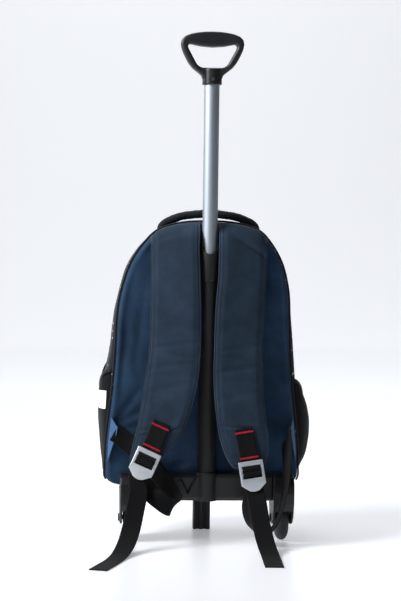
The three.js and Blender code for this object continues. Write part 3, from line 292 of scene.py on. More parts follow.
def speckled(name, seam_height):
    """Charcoal polyester with white specks above seam_height, plain blue below it."""
    made = cloth(name, "11151b", "2a3038", sheen=0.12)
    nodes = made.node_tree.nodes
    place = next(n for n in nodes if n.type == "TEX_COORD").outputs["Object"]
    cells = add(made, "ShaderNodeTexVoronoi", {"Vector": place, "Scale": 1 / (SPECK_SPACING * MM)})
    chosen = add(made, "ShaderNodeSeparateColor", {"Color": cells.outputs["Color"]})
    size = add(made, "ShaderNodeMath", {0: chosen.outputs["Red"], 1: 0.48, 2: -0.16},
               operation="MULTIPLY_ADD")
    speck = add(made, "ShaderNodeMath", {0: cells.outputs["Distance"], 1: size.outputs[0]},
                operation="LESS_THAN")
    weave = nodes[made["ramp"]].outputs["Color"]
    # A colour Mix node takes its factor on socket 0, its two colours on 6 and 7, and gives on 2.
    dusted = add(made, "ShaderNodeMix", {0: speck.outputs[0], 6: weave, 7: srgb("e2e7ee")},
                 data_type="RGBA")
    height = add(made, "ShaderNodeSeparateXYZ", {"Vector": place})
    low = add(made, "ShaderNodeMath", {0: height.outputs["Z"], 1: seam_height * MM},
              operation="LESS_THAN")
    base = add(made, "ShaderNodeMix", {0: low.outputs[0], 6: dusted.outputs[2], 7: srgb("203d60")},
               data_type="RGBA")
    connect(made, shader_of(made), {"Base Color": base.outputs[2]})
    return made


side_cloth = speckled("charcoal_speckled_polyester", BLUE_STRIP_TOP)
print("side cloth:", side_cloth.name)

# %% [markdown]
# ### Webbing and sewing thread
# Polyester webbing is woven with thick ribs along its length, about 2 mm apart, crossed by fine
# wefts. Two waves in the flat map give both, so the ribs follow the band wherever it turns. The
# wefts are drawn 1.6 mm apart, coarser than real ones, to show in the render. Dense rows of
# thread have the same build with finer waves, so one function makes them too.

# %% Make webbing
def webbing(name, dark, light, rib=2.3, weft=1.6):
    """Ribbed polyester webbing; the flat map's x runs across it and its y along it."""
    made = new_material(name)
    place = add(made, "ShaderNodeTexCoord").outputs["UV"]
    split = add(made, "ShaderNodeSeparateXYZ", {"Vector": place})
    parts = []
    for axis, spacing in (("X", rib), ("Y", weft)):
        grown = add(made, "ShaderNodeMath", {0: split.outputs[axis], 1: 2 * math.pi / (spacing * MM)},
                    operation="MULTIPLY")
        parts.append(add(made, "ShaderNodeMath", {0: grown.outputs[0]}, operation="SINE"))
    woven = add(made, "ShaderNodeMath", {0: parts[1].outputs[0], 1: 0.45, 2: parts[0].outputs[0]},
                operation="MULTIPLY_ADD")
    fuzz = add(made, "ShaderNodeTexNoise", {"Vector": place, "Scale": 500.0, "Detail": 4.0})
    height = add(made, "ShaderNodeMath", {0: woven.outputs[0], 1: 0.3, 2: fuzz.outputs["Fac"]},
                 operation="MULTIPLY_ADD")
    ramp = add(made, "ShaderNodeValToRGB", {"Fac": height.outputs[0]})
    ramp.color_ramp.elements[0].position, ramp.color_ramp.elements[1].position = 0.2, 0.95
    ramp.color_ramp.elements[0].color = srgb(dark)
    ramp.color_ramp.elements[1].color = srgb(light)
    relief = add(made, "ShaderNodeBump", {"Height": height.outputs[0], "Strength": 0.5,
                                         "Distance": 0.35 * MM})
    connect(made, shader_of(made), {"Base Color": ramp.outputs["Color"], "Roughness": 0.72,
                                    "IOR": 1.5, "Normal": relief.outputs["Normal"],
                                    "Sheen Weight": 0.04, "Specular IOR Level": 0.15})
    return made


black_webbing = webbing("black_polyester_webbing", "030304", "101114")
red_thread = webbing("red_bar_tack_thread", "a5122c", "d62c47", rib=0.9, weft=1.1)
slate_thread = webbing("slate_sewing_thread", "1b2634", "3d4e63", rib=0.9, weft=1.1)
print("woven bands:", black_webbing.name, red_thread.name, slate_thread.name)

# %% [markdown]
# ### Net and knit
# The pockets are a warp-knitted net: rows of small round holes staggered like a honeycomb. The
# grab handle is covered in the same family of knit, thicker and spongier. A flat Voronoi texture
# with little randomness gives such cells. Holes of a real net lie about 1 mm apart, so these are
# drawn 1.9 mm apart, and 3 mm on the knit, to show in the render.

# %% Make net and knit
def knit(name, dark, light, hole, depth, rough=0.9):
    """Warp-knit net or spacer mesh with staggered holes hole millimetres apart."""
    made = new_material(name)
    place = add(made, "ShaderNodeTexCoord").outputs["UV"]
    cells = add(made, "ShaderNodeTexVoronoi", {"Vector": place, "Scale": 1 / (hole * MM),
                                              "Randomness": 0.18}, voronoi_dimensions="2D")
    soft = add(made, "ShaderNodeTexNoise", {"Vector": place, "Scale": 60.0, "Detail": 5.0})
    rim = add(made, "ShaderNodeMath", {0: soft.outputs["Fac"], 1: 0.35,
                                      2: cells.outputs["Distance"]}, operation="MULTIPLY_ADD")
    ramp = add(made, "ShaderNodeValToRGB", {"Fac": rim.outputs[0]})
    ramp.color_ramp.elements[0].position, ramp.color_ramp.elements[1].position = 0.34, 0.8
    ramp.color_ramp.elements[0].color = srgb(dark)
    ramp.color_ramp.elements[1].color = srgb(light)
    relief = add(made, "ShaderNodeBump", {"Height": cells.outputs["Distance"], "Strength": 0.7,
                                         "Distance": depth * MM})
    connect(made, shader_of(made), {"Base Color": ramp.outputs["Color"], "Roughness": rough,
                                    "IOR": 1.5, "Normal": relief.outputs["Normal"],
                                    "Sheen Weight": 0.1, "Sheen Roughness": 0.4,
                                    "Specular IOR Level": 0.2})
    return made


net_cloth = knit("black_warp_knit_net", "030304", "1a1c1f", 1.9, 0.5)
knit_cloth = knit("black_spacer_knit", "06080b", "262b31", 3.0, 1.0)
print("knits:", net_cloth.name, knit_cloth.name)

# %% [markdown]
# ### Reflective tape
# The tape is a smooth film full of glass beads, so it is nearly white with a fine grain. The
# beads send light back to where it came from, which a plain shader can't do, so a little
# emission stands in for it and keeps the tape bright from each side.

# %% Make reflective tape
def beaded(name):
    """Grey-white film full of glass beads: bright from a painted glow, satin, with a fine grain and faint
    creases painted as shade.
    """
    made = new_material(name)
    place = add(made, "ShaderNodeTexCoord").outputs["Object"]
    grain = add(made, "ShaderNodeTexNoise", {"Vector": place, "Scale": 700.0, "Detail": 2.0})
    # Slow noise sets the colour between pale grey and white: faint creases painted as shade, for the
    # film's shape has none.
    crease = add(made, "ShaderNodeTexNoise", {"Vector": place, "Scale": 35.0, "Detail": 4.0})
    ramp = add(made, "ShaderNodeValToRGB", {"Fac": crease.outputs["Fac"]})
    ramp.color_ramp.elements[0].color = srgb("dfe3e8")
    ramp.color_ramp.elements[1].color = srgb("ffffff")
    relief = add(made, "ShaderNodeBump", {"Height": grain.outputs["Fac"], "Strength": 0.2,
                                         "Distance": 0.1 * MM})
    # The emission is a painted glow: the tape gives off light though it is no lamp.
    connect(made, shader_of(made), {"Base Color": ramp.outputs["Color"], "Roughness": 0.45,
                                    "IOR": 1.5, "Normal": relief.outputs["Normal"],
                                    "Emission Color": srgb("ffffff"), "Emission Strength": 0.3})
    return made


reflective_tape = beaded("silver_beaded_reflective_tape")
print("tape:", reflective_tape.name)

# %% [markdown]
# ### Metal
# The pull tube is drawn aluminium with a satin anodised skin: its fine lines run along it. The
# buckles are die-cast zinc alloy, tumbled and plated, so their face has a soft irregular grain.
# A metal is all reflection, so it keeps the default IOR and its colour is the tint of that
# reflection. One noise, stretched along the tube or left even on the castings, gives the grain,
# and it changes the gloss a little too, which is what shows first on a dull metal.

# %% Make metals
def metal(name, tint, rough, stretch, grain):
    """A bare metal with a grain drawn out by stretch along x, y and z."""
    made = new_material(name)
    place = add(made, "ShaderNodeTexCoord").outputs["Object"]
    drawn = add(made, "ShaderNodeMapping", {"Vector": place, "Scale": stretch})
    lines = add(made, "ShaderNodeTexNoise", {"Vector": drawn.outputs["Vector"], "Scale": 1.0,
                                            "Detail": 5.0, "Roughness": 0.65})
    gloss = add(made, "ShaderNodeMapRange", {"Value": lines.outputs["Fac"],
                                            "To Min": rough * 0.75, "To Max": rough * 1.3})
    shade = add(made, "ShaderNodeValToRGB", {"Fac": lines.outputs["Fac"]})
    shade.color_ramp.elements[0].color = [c * 0.82 for c in srgb(tint)[:3]] + [1]
    shade.color_ramp.elements[1].color = srgb(tint)
    relief = add(made, "ShaderNodeBump", {"Height": lines.outputs["Fac"], "Strength": 0.12,
                                         "Distance": grain * MM})
    connect(made, shader_of(made), {"Base Color": shade.outputs["Color"], "Metallic": 1.0,
                                    "Roughness": gloss.outputs["Result"],
                                    "Normal": relief.outputs["Normal"]})
    return made


anodised_tube = metal("satin_anodised_aluminium", "b4bdc7", 0.58, (900, 900, 18), 0.1)
cast_zinc = metal("tumbled_cast_zinc", "eef4fa", 0.5, (420, 420, 420), 0.12)
black_steel = metal("blackened_steel", "26282c", 0.45, (300, 300, 300), 0.08)
plated_zinc = metal("nickel_plated_zinc", "b7bcc2", 0.28, (300, 300, 300), 0.08)
print("metals:", anodised_tube.name, cast_zinc.name, black_steel.name, plated_zinc.name)

# %% [markdown]
# ### Plastic
# The grip, sleeve and chassis are moulded ABS and nylon, whose mould is eroded to a fine matt
# grain. The tyres are cast polyurethane, duller and slightly grey. The grain of a real mould is
# about 0.1 mm, which the render can't show, so it is drawn 0.6 to 1.4 mm apart. Slow scuffs
# make the gloss uneven, as on a thing in daily use.

# %% Make plastics
def plastic(name, tint, rough, grain=0.8, bump=0.12):
    """Moulded plastic with an eroded mould's grain, grain millimetres apart, and scuffs."""
    made = new_material(name)
    place = add(made, "ShaderNodeTexCoord").outputs["Object"]
    pits = add(made, "ShaderNodeTexNoise", {"Vector": place, "Scale": 1 / (grain * MM),
                                           "Detail": 3.0})
    scuffs = add(made, "ShaderNodeTexNoise", {"Vector": place, "Scale": 25.0, "Detail": 8.0,
                                             "Roughness": 0.7})
    gloss = add(made, "ShaderNodeMapRange", {"Value": scuffs.outputs["Fac"],
                                            "To Min": rough - 0.1, "To Max": rough + 0.12})
    shade = add(made, "ShaderNodeValToRGB", {"Fac": scuffs.outputs["Fac"]})
    shade.color_ramp.elements[0].color = [c * 0.75 for c in srgb(tint)[:3]] + [1]
    shade.color_ramp.elements[1].color = [c * 1.35 for c in srgb(tint)[:3]] + [1]
    relief = add(made, "ShaderNodeBump", {"Height": pits.outputs["Fac"], "Strength": bump,
                                         "Distance": 0.15 * MM})
    connect(made, shader_of(made), {"Base Color": shade.outputs["Color"], "IOR": 1.5,
                                    "Roughness": gloss.outputs["Result"],
                                    "Normal": relief.outputs["Normal"]})
    return made


grip_plastic = plastic("black_moulded_ABS", "1b1c1f", 0.42)
sleeve_plastic = plastic("black_extruded_ABS", "040506", 0.55, grain=0.6)
chassis_plastic = plastic("black_moulded_nylon", "0d0e10", 0.46, grain=1.0, bump=0.2)
tyre_rubber = plastic("dark_cast_polyurethane", "15171a", 0.58, grain=1.4, bump=0.25)
print("materials:", len(bpy.data.materials))

# %% [markdown]
# ## Joining a piece to the frame
# Each new piece rides on a CAD body, so it moves with it, gets its own finish, and may stand in
# for CAD nodes, which are then no longer shown.

# %% Join a piece to its body
def join(made, material, nodes=(), body="bag"):
    """Give a piece its finish, its body and the CAD nodes that it replaces."""
    made.data.materials.clear()
    made.data.materials.append(material)
    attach(made, body)
    if nodes:
        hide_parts(*nodes)
    print(made.name, len(made.data.polygons), "faces")
    return made


# %% [markdown]
# ## The bag
# The bag is cut from a back panel, a gusset that runs all round, and a front. Its outline is
# described from the top seam down to the middle of the bottom, as shares of the bag's height and
# half width, and the depth table says how the gusset swells and then rounds off to the front.
# The soft bag hangs a little to one side of its trolley, as bags do when they are half full.

# %% Describe the bag's outline
BOTTOM, HEIGHT, HALF_WIDTH, DEPTH = 90, 437, 161, 148
BACK_Y, PANEL_THICKNESS, SEAT = -112, 10.5, 0.3
RIM_Y = BACK_Y + PANEL_THICKNESS + SEAT
OUTLINE = [  # rise, half width of the body, half width of the padded panel
    (1.0, 0.0, 0.0), (0.997, 0.23, 0.22), (0.984, 0.42, 0.4), (0.961, 0.56, 0.54),
    (0.915, 0.69, 0.655), (0.87, 0.775, 0.735), (0.826, 0.832, 0.79), (0.735, 0.888, 0.855),
    (0.645, 0.925, 0.88), (0.508, 0.96, 0.895), (0.366, 0.985, 0.923), (0.16, 1.0, 0.985),
    (0.078, 1.0, 0.99), (0.037, 1.0, 0.99), (0.012, 0.955, 0.94), (0.0, 0.84, 0.825),
    (0.0, 0.0, 0.0)]
DEPTHS = [  # depth, share of the body outline, width, fall of the top, lift of the bottom
    (0.0, 0.0, 1.0, 0.0, 0.0), (0.07, 0.8, 1.0, 0.0, 0.0), (0.2, 1.0, 1.0, 0.003, 0.0),
    (0.5, 1.0, 0.988, 0.018, 0.0), (0.72, 1.0, 0.973, 0.045, 0.0), (0.87, 1.0, 0.95, 0.085, 0.008),
    (0.96, 1.0, 0.912, 0.13, 0.022), (1.0, 1.0, 0.855, 0.175, 0.045)]
STEPS = 240


def lean(z):
    """How far the bag's middle line lies to the right at one height."""
    return -8 * np.minimum(1, (BOTTOM + HEIGHT - np.asarray(z, float)) / 160)


def outline(kind):
    """The ring of the body (1) or the panel (2), from the top round to the right, as x and z."""
    right = [(row[kind], row[0]) for row in OUTLINE]
    left = [(-half, rise) for half, rise in right[-2:0:-1]]
    points = [(float(lean(BOTTOM + rise * HEIGHT)) + half * HALF_WIDTH, BOTTOM + rise * HEIGHT)
              for half, rise in right + left]
    ring = even(points, STEPS, closed=True)
    ring[:, 1] = np.maximum(ring[:, 1], BOTTOM)
    return ring


body_ring, panel_ring = outline(1), outline(2)
print("bag width mm:", round(float(np.ptp(body_ring[:, 0])), 1))

# %% [markdown]
# The skin is a row of closed rings, one for each depth. Each ring blends the panel's outline
# into the body's, narrows towards the front, sinks at the top and lifts at the bottom. A smooth
# curve through the few rows of the table gives the rings between them.

# %% Lay out the bag's skin
SKIN_RINGS = 46


def section(row):
    """The closed ring of the bag's skin at one row of the depth table."""
    depth, belly, width, top, lift = row
    flat = panel_ring * (1 - belly) + body_ring * belly
    middle = lean(flat[:, 1])
    share = (flat[:, 1] - BOTTOM) / HEIGHT
    return np.stack([middle + (flat[:, 0] - middle) * width, np.full(STEPS, RIM_Y + depth * DEPTH),
                     flat[:, 1] - share * top * HEIGHT + (1 - share) * lift * HEIGHT], axis=1)


table = curve_at(DEPTHS, np.linspace(0, 1, SKIN_RINGS))
table[:, 0] = np.maximum.accumulate(np.clip(table[:, 0], 0, 1))
body_skin = np.array([section(row) for row in table])
print("skin:", SKIN_RINGS, "rings of", STEPS, "points")

# %% [markdown]
# Cloth is never smooth. Filled by its own lining and a few things inside, the gusset shows slow
# hills between shallow creases, and it stays taut only at the seams. Noise stretched along the
# height gives such creases. They only push inwards, so nothing that lies on the bag is buried.
# Above the left pocket the gusset bellies out a little, where the pocket's elastic gathers it.

# %% Crease the bag's skin
BELLY, BELLY_Z, BELLY_SPREAD = 5.5, 268, 34
hills = bumpy(body_skin * np.array([1.0, 1.0, 0.45]), 42, 1).reshape(body_skin.shape[:2])
fine = bumpy(body_skin, 13, 2).reshape(body_skin.shape[:2])
taut = np.clip(table[:, 0] / 0.12, 0, 1)[:, None]
inward = taut * (1.3 * (0.6 + hills) + 0.35 * (1 + fine))
middles = body_skin.mean(axis=1, keepdims=True)
outward = unit((body_skin - middles) * np.array([1.0, 0.0, 1.0]))
bulge = BELLY * np.exp(-((body_skin[:, :, 2] - BELLY_Z) / BELLY_SPREAD) ** 2)
bulge = bulge * (body_skin[:, :, 0] < -60)
swollen = np.clip(table[:, 0] / 0.06, 0, 1)[:, None] * (table[:, 0] < 0.95)[:, None]
body_skin[:, :, 0] -= bulge * swollen
smooth_skin = body_skin.copy()
body_skin = body_skin - outward * np.maximum(inward, 0)[:, :, None]
print("deepest crease mm:", round(float(inward.max()), 2))

# %% [markdown]
# The gusset is the long strip that joins the panel to the front. Its flat map is the strip
# unrolled: the distance round the ring one way and the distance from back to front the other
# way, so the pattern of the cloth keeps its real size.

# %% Sew the gusset
def perimeter(ring):
    """Distance along a closed ring of points at each point."""
    return lengths_along(np.vstack([ring, ring[:1]]))


def wrapped(rows):
    """Repeat the first column at the end, so that a ring's map has no seam in its middle."""
    return np.concatenate([rows, rows[:, :1]], axis=1)


closed_rows = wrapped(body_skin)
across = lengths_along(body_skin[:, 0])
uvs = [(perimeter(body_skin[0])[j], across[i])
       for i in range(len(closed_rows)) for j in range(STEPS + 1)]
gusset = join(piece("bag_gusset", closed_rows.reshape(-1, 3),
                    grid_faces(len(closed_rows), STEPS + 1), uvs), side_cloth,
              ["bag_shell"])

# %% [markdown]
# The front is one sheet, sewn to the gusset all round. Its rings shrink towards the middle while
# it swells forward by a few millimetres. The photograph doesn't show it, so it stays plain.

# %% Fill in the front
FRONT_RINGS = 26
front_rim = body_skin[-1]
centre = front_rim.mean(axis=0)
rings = []
for share in np.linspace(0, 1, FRONT_RINGS):
    ring = centre + (front_rim - centre) * (1 - share)
    ring[:, 1] = front_rim[:, 1] + 5.5 * (1 - (1 - share) ** 2.2)
    rings.append(ring)
front_rows = wrapped(np.array(rings))
soft = bumpy(front_rows, 55, 3).reshape(front_rows.shape[:2])
fade = np.clip(np.linspace(0, 1, FRONT_RINGS) / 0.15, 0, 1)[:, None]
front_rows[:, :, 1] -= 1.6 * fade * (1 + soft)
front = join(piece("bag_front", front_rows.reshape(-1, 3), grid_faces(FRONT_RINGS, STEPS + 1),
                   [(p[0], p[2]) for p in front_rows.reshape(-1, 3)]), side_cloth)

# %% [markdown]
# The flat size that each sheet was cut to is printed. The gusset's strip is as long as the
# bag's outline and as wide as its skin is deep, and the front's cut is measured on its mesh.

def area_of(made):
    """The area of a mesh in square metres."""
    return sum(face.area for face in made.data.polygons)


def declare_sheet(made, width, length):
    """Print the size a sheet was cut to; its length grows where the mesh's own area is larger."""
    size = area_of(made)
    full = width * length * MM * MM
    if full < size:
        length *= size / full * 1.002
        full = width * length * MM * MM
    print(made.name, "cut", round(width), "x", round(length), "mm, area", round(size, 4), "m2")


declare_sheet(gusset, float(across[-1]), float(perimeter(body_skin[0])[-1]))
declare_sheet(front, 280, 400)


# %% [markdown]
# ## The padded back panel
# The panel that rests on the wearer's back is foam under blue cloth, rounded over at its sewn
# edge, with a channel for the handle's sleeve. It is a height field: for each point inside the
# outline its face lies a little less far back near the edge, and slow dents make the cloth lie
# loose over the foam, with longer upright folds, as in the photograph.

# %% Shape the panel
TUBE_Y, CHANNEL_EDGE = -120, 13.2
PANEL_ROWS, SIDE_COLUMNS, CHANNEL_COLUMNS = 150, 60, 10
PANEL_COLUMNS = 2 * SIDE_COLUMNS + CHANNEL_COLUMNS - 2


def edges_at(ring, z):
    """Left and right x of a ring at one height."""
    ring = ring[np.argsort(ring[:, 1])]
    right = ring[ring[:, 0] >= lean(ring[:, 1]) - 0.01]
    left = ring[ring[:, 0] <= lean(ring[:, 1]) + 0.01]
    return np.interp(z, left[:, 1], left[:, 0]), np.interp(z, right[:, 1], right[:, 0])


def distance_to(ring, points):
    """Distance of x,z points from a closed ring."""
    a, b = ring, np.roll(ring, -1, axis=0)
    run = b - a
    found = np.full(len(points), 1e9)
    for p, d in zip(a, run):
        share = np.clip(((points - p) @ d) / max(d @ d, 1e-9), 0, 1)
        found = np.minimum(found, np.linalg.norm(points - p - share[:, None] * d, axis=1))
    return found


heights = BOTTOM + HEIGHT * (0.5 - 0.5 * np.cos(np.pi * np.linspace(0, 1, PANEL_ROWS)))
rows = []
for z in heights:
    left, right = edges_at(panel_ring, z)
    rows.append(np.concatenate([
        np.linspace(left, max(left, -CHANNEL_EDGE), SIDE_COLUMNS),
        np.linspace(max(left, -CHANNEL_EDGE), min(right, CHANNEL_EDGE), CHANNEL_COLUMNS)[1:-1],
        np.linspace(min(right, CHANNEL_EDGE), right, SIDE_COLUMNS)]))
flat = np.stack([np.array(rows), np.repeat(heights[:, None], PANEL_COLUMNS, axis=1)], axis=2)
gap = distance_to(panel_ring, flat.reshape(-1, 2)).reshape(flat.shape[:2])
rounding = np.clip(gap / 9, 0, 1)
lift = PANEL_THICKNESS * np.sqrt(np.clip(1 - (1 - rounding) ** 2.2, 0, 1))
print("panel grid:", PANEL_ROWS, "x", PANEL_COLUMNS, "points, full lift mm:", round(float(lift.max()), 1))

# %% [markdown]
# Cloth sewn over foam is a little too large for it. Where the straps and tabs pull at it, the
# spare cloth lies in long shallow folds, so a short table gives both ends, the depth and the
# width of each fold. The sleeve lies in a half-round channel. All of this only moves the face
# of the height field, so the panel stays one clean sheet.

# %% Fold the panel's cloth and cut its channel
where = np.stack([flat[:, :, 0], np.zeros_like(gap), flat[:, :, 1]], axis=2)
slow = bumpy(where * np.array([1.0, 1.0, 0.3]), 34, 4).reshape(gap.shape)
slant = bumpy((where + where[:, :, ::-1] * 0.25) * np.array([1.0, 1.0, 0.55]), 17, 5)
dents = np.clip(gap / 14, 0, 1) * (2.1 * (0.55 + slow) + 0.8 * (0.5 + slant.reshape(gap.shape)))
PULLS = [  # x and z of both ends, depth and width of a fold in mm
    (-150, 196, -104, 262, 2.4, 7), (-150, 190, -92, 226, 2.2, 6), (-148, 182, -84, 196, 1.8, 6),
    (-146, 250, -132, 380, 2.0, 8), (-118, 300, -104, 440, 1.8, 8), (138, 196, 104, 262, 2.0, 7),
    (136, 186, 96, 214, 1.8, 6), (132, 250, 118, 390, 1.8, 8), (-60, 120, -20, 132, 1.6, 6)]
CHANNEL_RADIUS = 15.4
for x0, z0, x1, z1, deep, wide in PULLS:
    start, way = np.array([x0, z0]), np.array([x1 - x0, z1 - z0])
    along_it = np.clip(((flat - start) @ way) / (way @ way), 0, 1)
    off = np.linalg.norm(flat - start - along_it[:, :, None] * way, axis=2)
    dents = dents + deep * np.sin(np.pi * (0.15 + 0.85 * along_it)) * np.exp(-(off / wide) ** 2)
face_y = RIM_Y - SEAT - lift + np.maximum(dents, 0) * np.clip(gap / 10, 0, 1)
in_channel = np.abs(flat[:, :, 0]) < CHANNEL_RADIUS
channel_y = TUBE_Y + np.sqrt(np.clip(CHANNEL_RADIUS ** 2 - flat[:, :, 0] ** 2, 0, None))
face_y = np.where(in_channel, np.maximum(face_y, channel_y), face_y)
panel_points = np.stack([flat[:, :, 0], face_y, flat[:, :, 1]], axis=2)
back_panel = join(piece("padded_back_panel", panel_points.reshape(-1, 3),
                        grid_faces(PANEL_ROWS, PANEL_COLUMNS), flat.reshape(-1, 2)),
                  panel_cloth, ["back_panel"])

# %% [markdown]
# ## Piping and other round edges
# The seam between panel and gusset hides a cord in a folded tape. It is a tube along the panel's
# outline. The same tube function makes stitched bindings, so it takes two radii and a direction
# for the first one.

# %% Make tubes along lines
def tube(name, line, radius, sides=10, second=None, outward=None, closed=False):
    """A tube round a line of points, radius along outward and second along the other way."""
    line = np.asarray(line, float)
    along = unit(np.gradient(line, axis=0))
    out = np.tile([0.0, -1.0, 0.0], (len(line), 1)) if outward is None else np.asarray(outward, float)
    out = unit(out - (out * along).sum(axis=1, keepdims=True) * along)
    side = np.cross(along, out)
    angles = np.linspace(0, 2 * np.pi, sides, endpoint=False)
    radius = np.broadcast_to(radius, len(line))
    other = radius if second is None else np.broadcast_to(second, len(line))
    rings = [[line[i] + out[i] * radius[i] * math.cos(a) + side[i] * other[i] * math.sin(a)
              for a in angles] for i in range(len(line))]
    run = lengths_along(line)
    uvs = [(radius[i] * a, run[i]) for i in range(len(line)) for a in angles]
    return skin(name, rings, uvs)


def moved_out(ring, distance):
    """A ring moved along its own normals in x and z."""
    step = np.roll(ring, -1, axis=0) - np.roll(ring, 1, axis=0)
    normal = unit(np.stack([step[:, 1], -step[:, 0]], axis=1))
    away = ring - ring.mean(axis=0)
    normal *= np.where((normal * away).sum(axis=1) < 0, -1, 1)[:, None]
    return ring + normal * distance


PIPE_OUT, PIPE_DEEP, PIPE_RADIUS = 1.7, 2.6, 1.6
pipe_ring = moved_out(panel_ring, PIPE_OUT)
order = np.concatenate([np.arange(STEPS // 2 + 1, STEPS), np.arange(0, STEPS // 2 + 1)])
order = [i for i in order if pipe_ring[i, 1] > BOTTOM + 9]
pipe_line = np.stack([pipe_ring[order, 0], np.full(len(order), RIM_Y - PIPE_DEEP),
                      pipe_ring[order, 1]], axis=1)
join(tube("back_seam_piping", pipe_line, PIPE_RADIUS), piping_cloth, ["back_piping"])

# %% [markdown]
# ## Looking up the bag's side
# Pockets and zip lie on the gusset, so they need to know where its skin is. The skin is a grid
# of rings, one behind the other: the two rings beside a depth are found and blended.

# %% Find the skin at a place
skin_depths = body_skin[:, 0, 1]
half_rings = {}
for side, steps in ((1, np.arange(0, STEPS // 2 + 1)),
                    (-1, np.arange(STEPS, STEPS // 2 - 1, -1) % STEPS)):
    half_rings[side] = [ring[steps][::-1] for ring in smooth_skin]


def skin_x(side, y, z):
    """x of the bag's smooth skin on one side at depth y and height z."""
    k = int(np.clip(np.searchsorted(skin_depths, y) - 1, 0, len(skin_depths) - 2))
    share = (y - skin_depths[k]) / max(skin_depths[k + 1] - skin_depths[k], 1e-6)
    near, far = (half_rings[side][i] for i in (k, k + 1))
    found = [np.interp(z, ring[:, 2], ring[:, 0]) for ring in (near, far)]
    return found[0] * (1 - share) + found[1] * share


print("bag's right side at mid height:", round(float(skin_x(1, -40, 250)), 1))

# %% [markdown]
# ## Side pockets
# Each pocket is a piece of black net, gathered into the bottom seam and held by elastic at its
# rim, so its belly swells and small folds fan out from both edges. Only the left one has a white
# reflective band. The net is one sheet; a folded tape closes its rim.

# %% Describe the pockets
POCKET_BOTTOM, POCKET_BACK, POCKET_FRONT, DIP = 114, -99.5, 22, 34
POCKETS = {
    "left": dict(side=-1, top=284, bulge=10, profile=[0, 0.3, 0.58, 0.8, 0.96, 1.05, 0.95, 0.5]),
    "right": dict(side=1, top=268, bulge=23, profile=[0, 0.62, 0.9, 1.03, 1.08, 1.04, 0.88, 0.5]),
}


def pocket_point(pocket, u, v, out=0.0):
    """A point of a pocket: u from back to front, v from the bottom to the rim."""
    y = POCKET_BACK + (POCKET_FRONT - POCKET_BACK) * u
    rim = pocket["top"] - DIP * math.sin(math.pi * u)
    z = POCKET_BOTTOM + (rim - POCKET_BOTTOM) * v
    shape = pocket["profile"]
    swell = float(curve_at([[i, s] for i, s in enumerate(shape)], [np.clip(v, 0, 1)])[0][1])
    belly = pocket["bulge"] * swell * math.sin(math.pi * u) ** 0.6
    gather = math.sin(26 * math.pi * u + 2 * math.sin(9 * v)) * 0.7 * max(0.0, 1 - 2.2 * v)
    slack = 0.9 * noise.noise(Vector((y / 16, z / 26, pocket["side"] * 4.0)))
    free = math.sin(math.pi * u) ** 0.5
    off = 1.6 + belly + free * (gather + slack) + out
    return [skin_x(pocket["side"], y, z) + pocket["side"] * off, y, z]


print("pocket rims, mm above the floor:", {name: pocket["top"] for name, pocket in POCKETS.items()})

# %% [markdown]
# Each pocket is one grid of points from the bottom seam up to the rim. Its columns lie closer
# together at the side seams, where the net turns in. The tape follows the same formula just
# outside the net, so it lies on the rim by itself.

# %% Sew the pockets
POCKET_COLUMNS, POCKET_ROWS = 70, 56
U = 0.5 - 0.5 * np.cos(np.pi * np.linspace(0, 1, POCKET_COLUMNS))
V = np.linspace(0, 1, POCKET_ROWS)
for name, pocket in POCKETS.items():
    grid = np.array([[pocket_point(pocket, u, v) for u in U] for v in V])
    run_u = lengths_along(grid[POCKET_ROWS // 2])
    run_v = lengths_along(grid[:, POCKET_COLUMNS // 2])
    made = join(piece(f"net_pocket_{name}", grid.reshape(-1, 3), grid_faces(POCKET_ROWS, POCKET_COLUMNS),
                      [(a, b) for b in run_v for a in run_u]), net_cloth,
                [f"side_pocket_{name}"])
    hem_line = np.array([pocket_point(pocket, u, 0.985, 0.3) for u in U])
    hem = join(tube(f"pocket_rim_tape_{name}", hem_line, 1.2, 8, second=4.5,
                    outward=np.tile([float(pocket["side"]), 0, 0], (POCKET_COLUMNS, 1))),
               piping_cloth)
    declare_sheet(made, float(run_u[-1]), float(run_v[-1]) + 20)

# %% [markdown]
# The reflective band is a straight tape sewn across the left pocket, just under its rim. It lies
# level, so its height is set rather than a share of the pocket.

# %% Sew on the reflective band
left_pocket = POCKETS["left"]
band_top, band_height, BAND_ROWS = left_pocket["top"] - DIP - 4, 30, 12


def band_point(u, z):
    """A point of the band at one height, just outside the net."""
    rim = left_pocket["top"] - DIP * math.sin(math.pi * u)
    return pocket_point(left_pocket, u, (z - POCKET_BOTTOM) / (rim - POCKET_BOTTOM), 1.3)


band_z = np.linspace(band_top - band_height, band_top, BAND_ROWS)
band_u = np.clip(U, 0.012, 0.988)
band_grid = np.array([[band_point(u, z) for u in band_u] for z in band_z])
band = join(piece("reflective_tape_band", band_grid.reshape(-1, 3),
                  grid_faces(BAND_ROWS, POCKET_COLUMNS)),
            reflective_tape, ["reflective_band_left"])
declare_sheet(band, band_height, float(lengths_along(band_grid[BAND_ROWS // 2])[-1]))

# %% [markdown]
# ## The zip
# A coil zip runs over the top of the gusset. Its tape is two flat ribbons, and its teeth are the
# turns of a nylon coil, 1.8 mm apart here so that each one is a clear bump. The two sliders meet
# on the top of the bag.

# %% Lay the zip's tape
ZIP_Y, ZIP_WIDTH, ZIP_END = 10, 24, 298
TAPE_SECTION = [  # place across the tape, height over the skin
    (-12, 0.3), (-11, 0.9), (-1.5, 1.1), (-1, 0.4), (1, 0.4), (1.5, 1.1), (11, 0.9), (12, 0.3)]


def zip_line(y, out):
    """The line of the skin at depth y above the zip's ends, moved outwards."""
    k = int(np.searchsorted(skin_depths, y) - 1)
    share = (y - skin_depths[k]) / (skin_depths[k + 1] - skin_depths[k])
    ring = smooth_skin[k] * (1 - share) + smooth_skin[k + 1] * share
    moved = moved_out(ring[:, [0, 2]], out)
    steps = [i for i in np.concatenate([np.arange(STEPS // 2, STEPS), np.arange(0, STEPS // 2)])
             if ring[i, 2] > ZIP_END]
    return np.stack([moved[steps, 0], ring[steps, 1], moved[steps, 1]], axis=1)


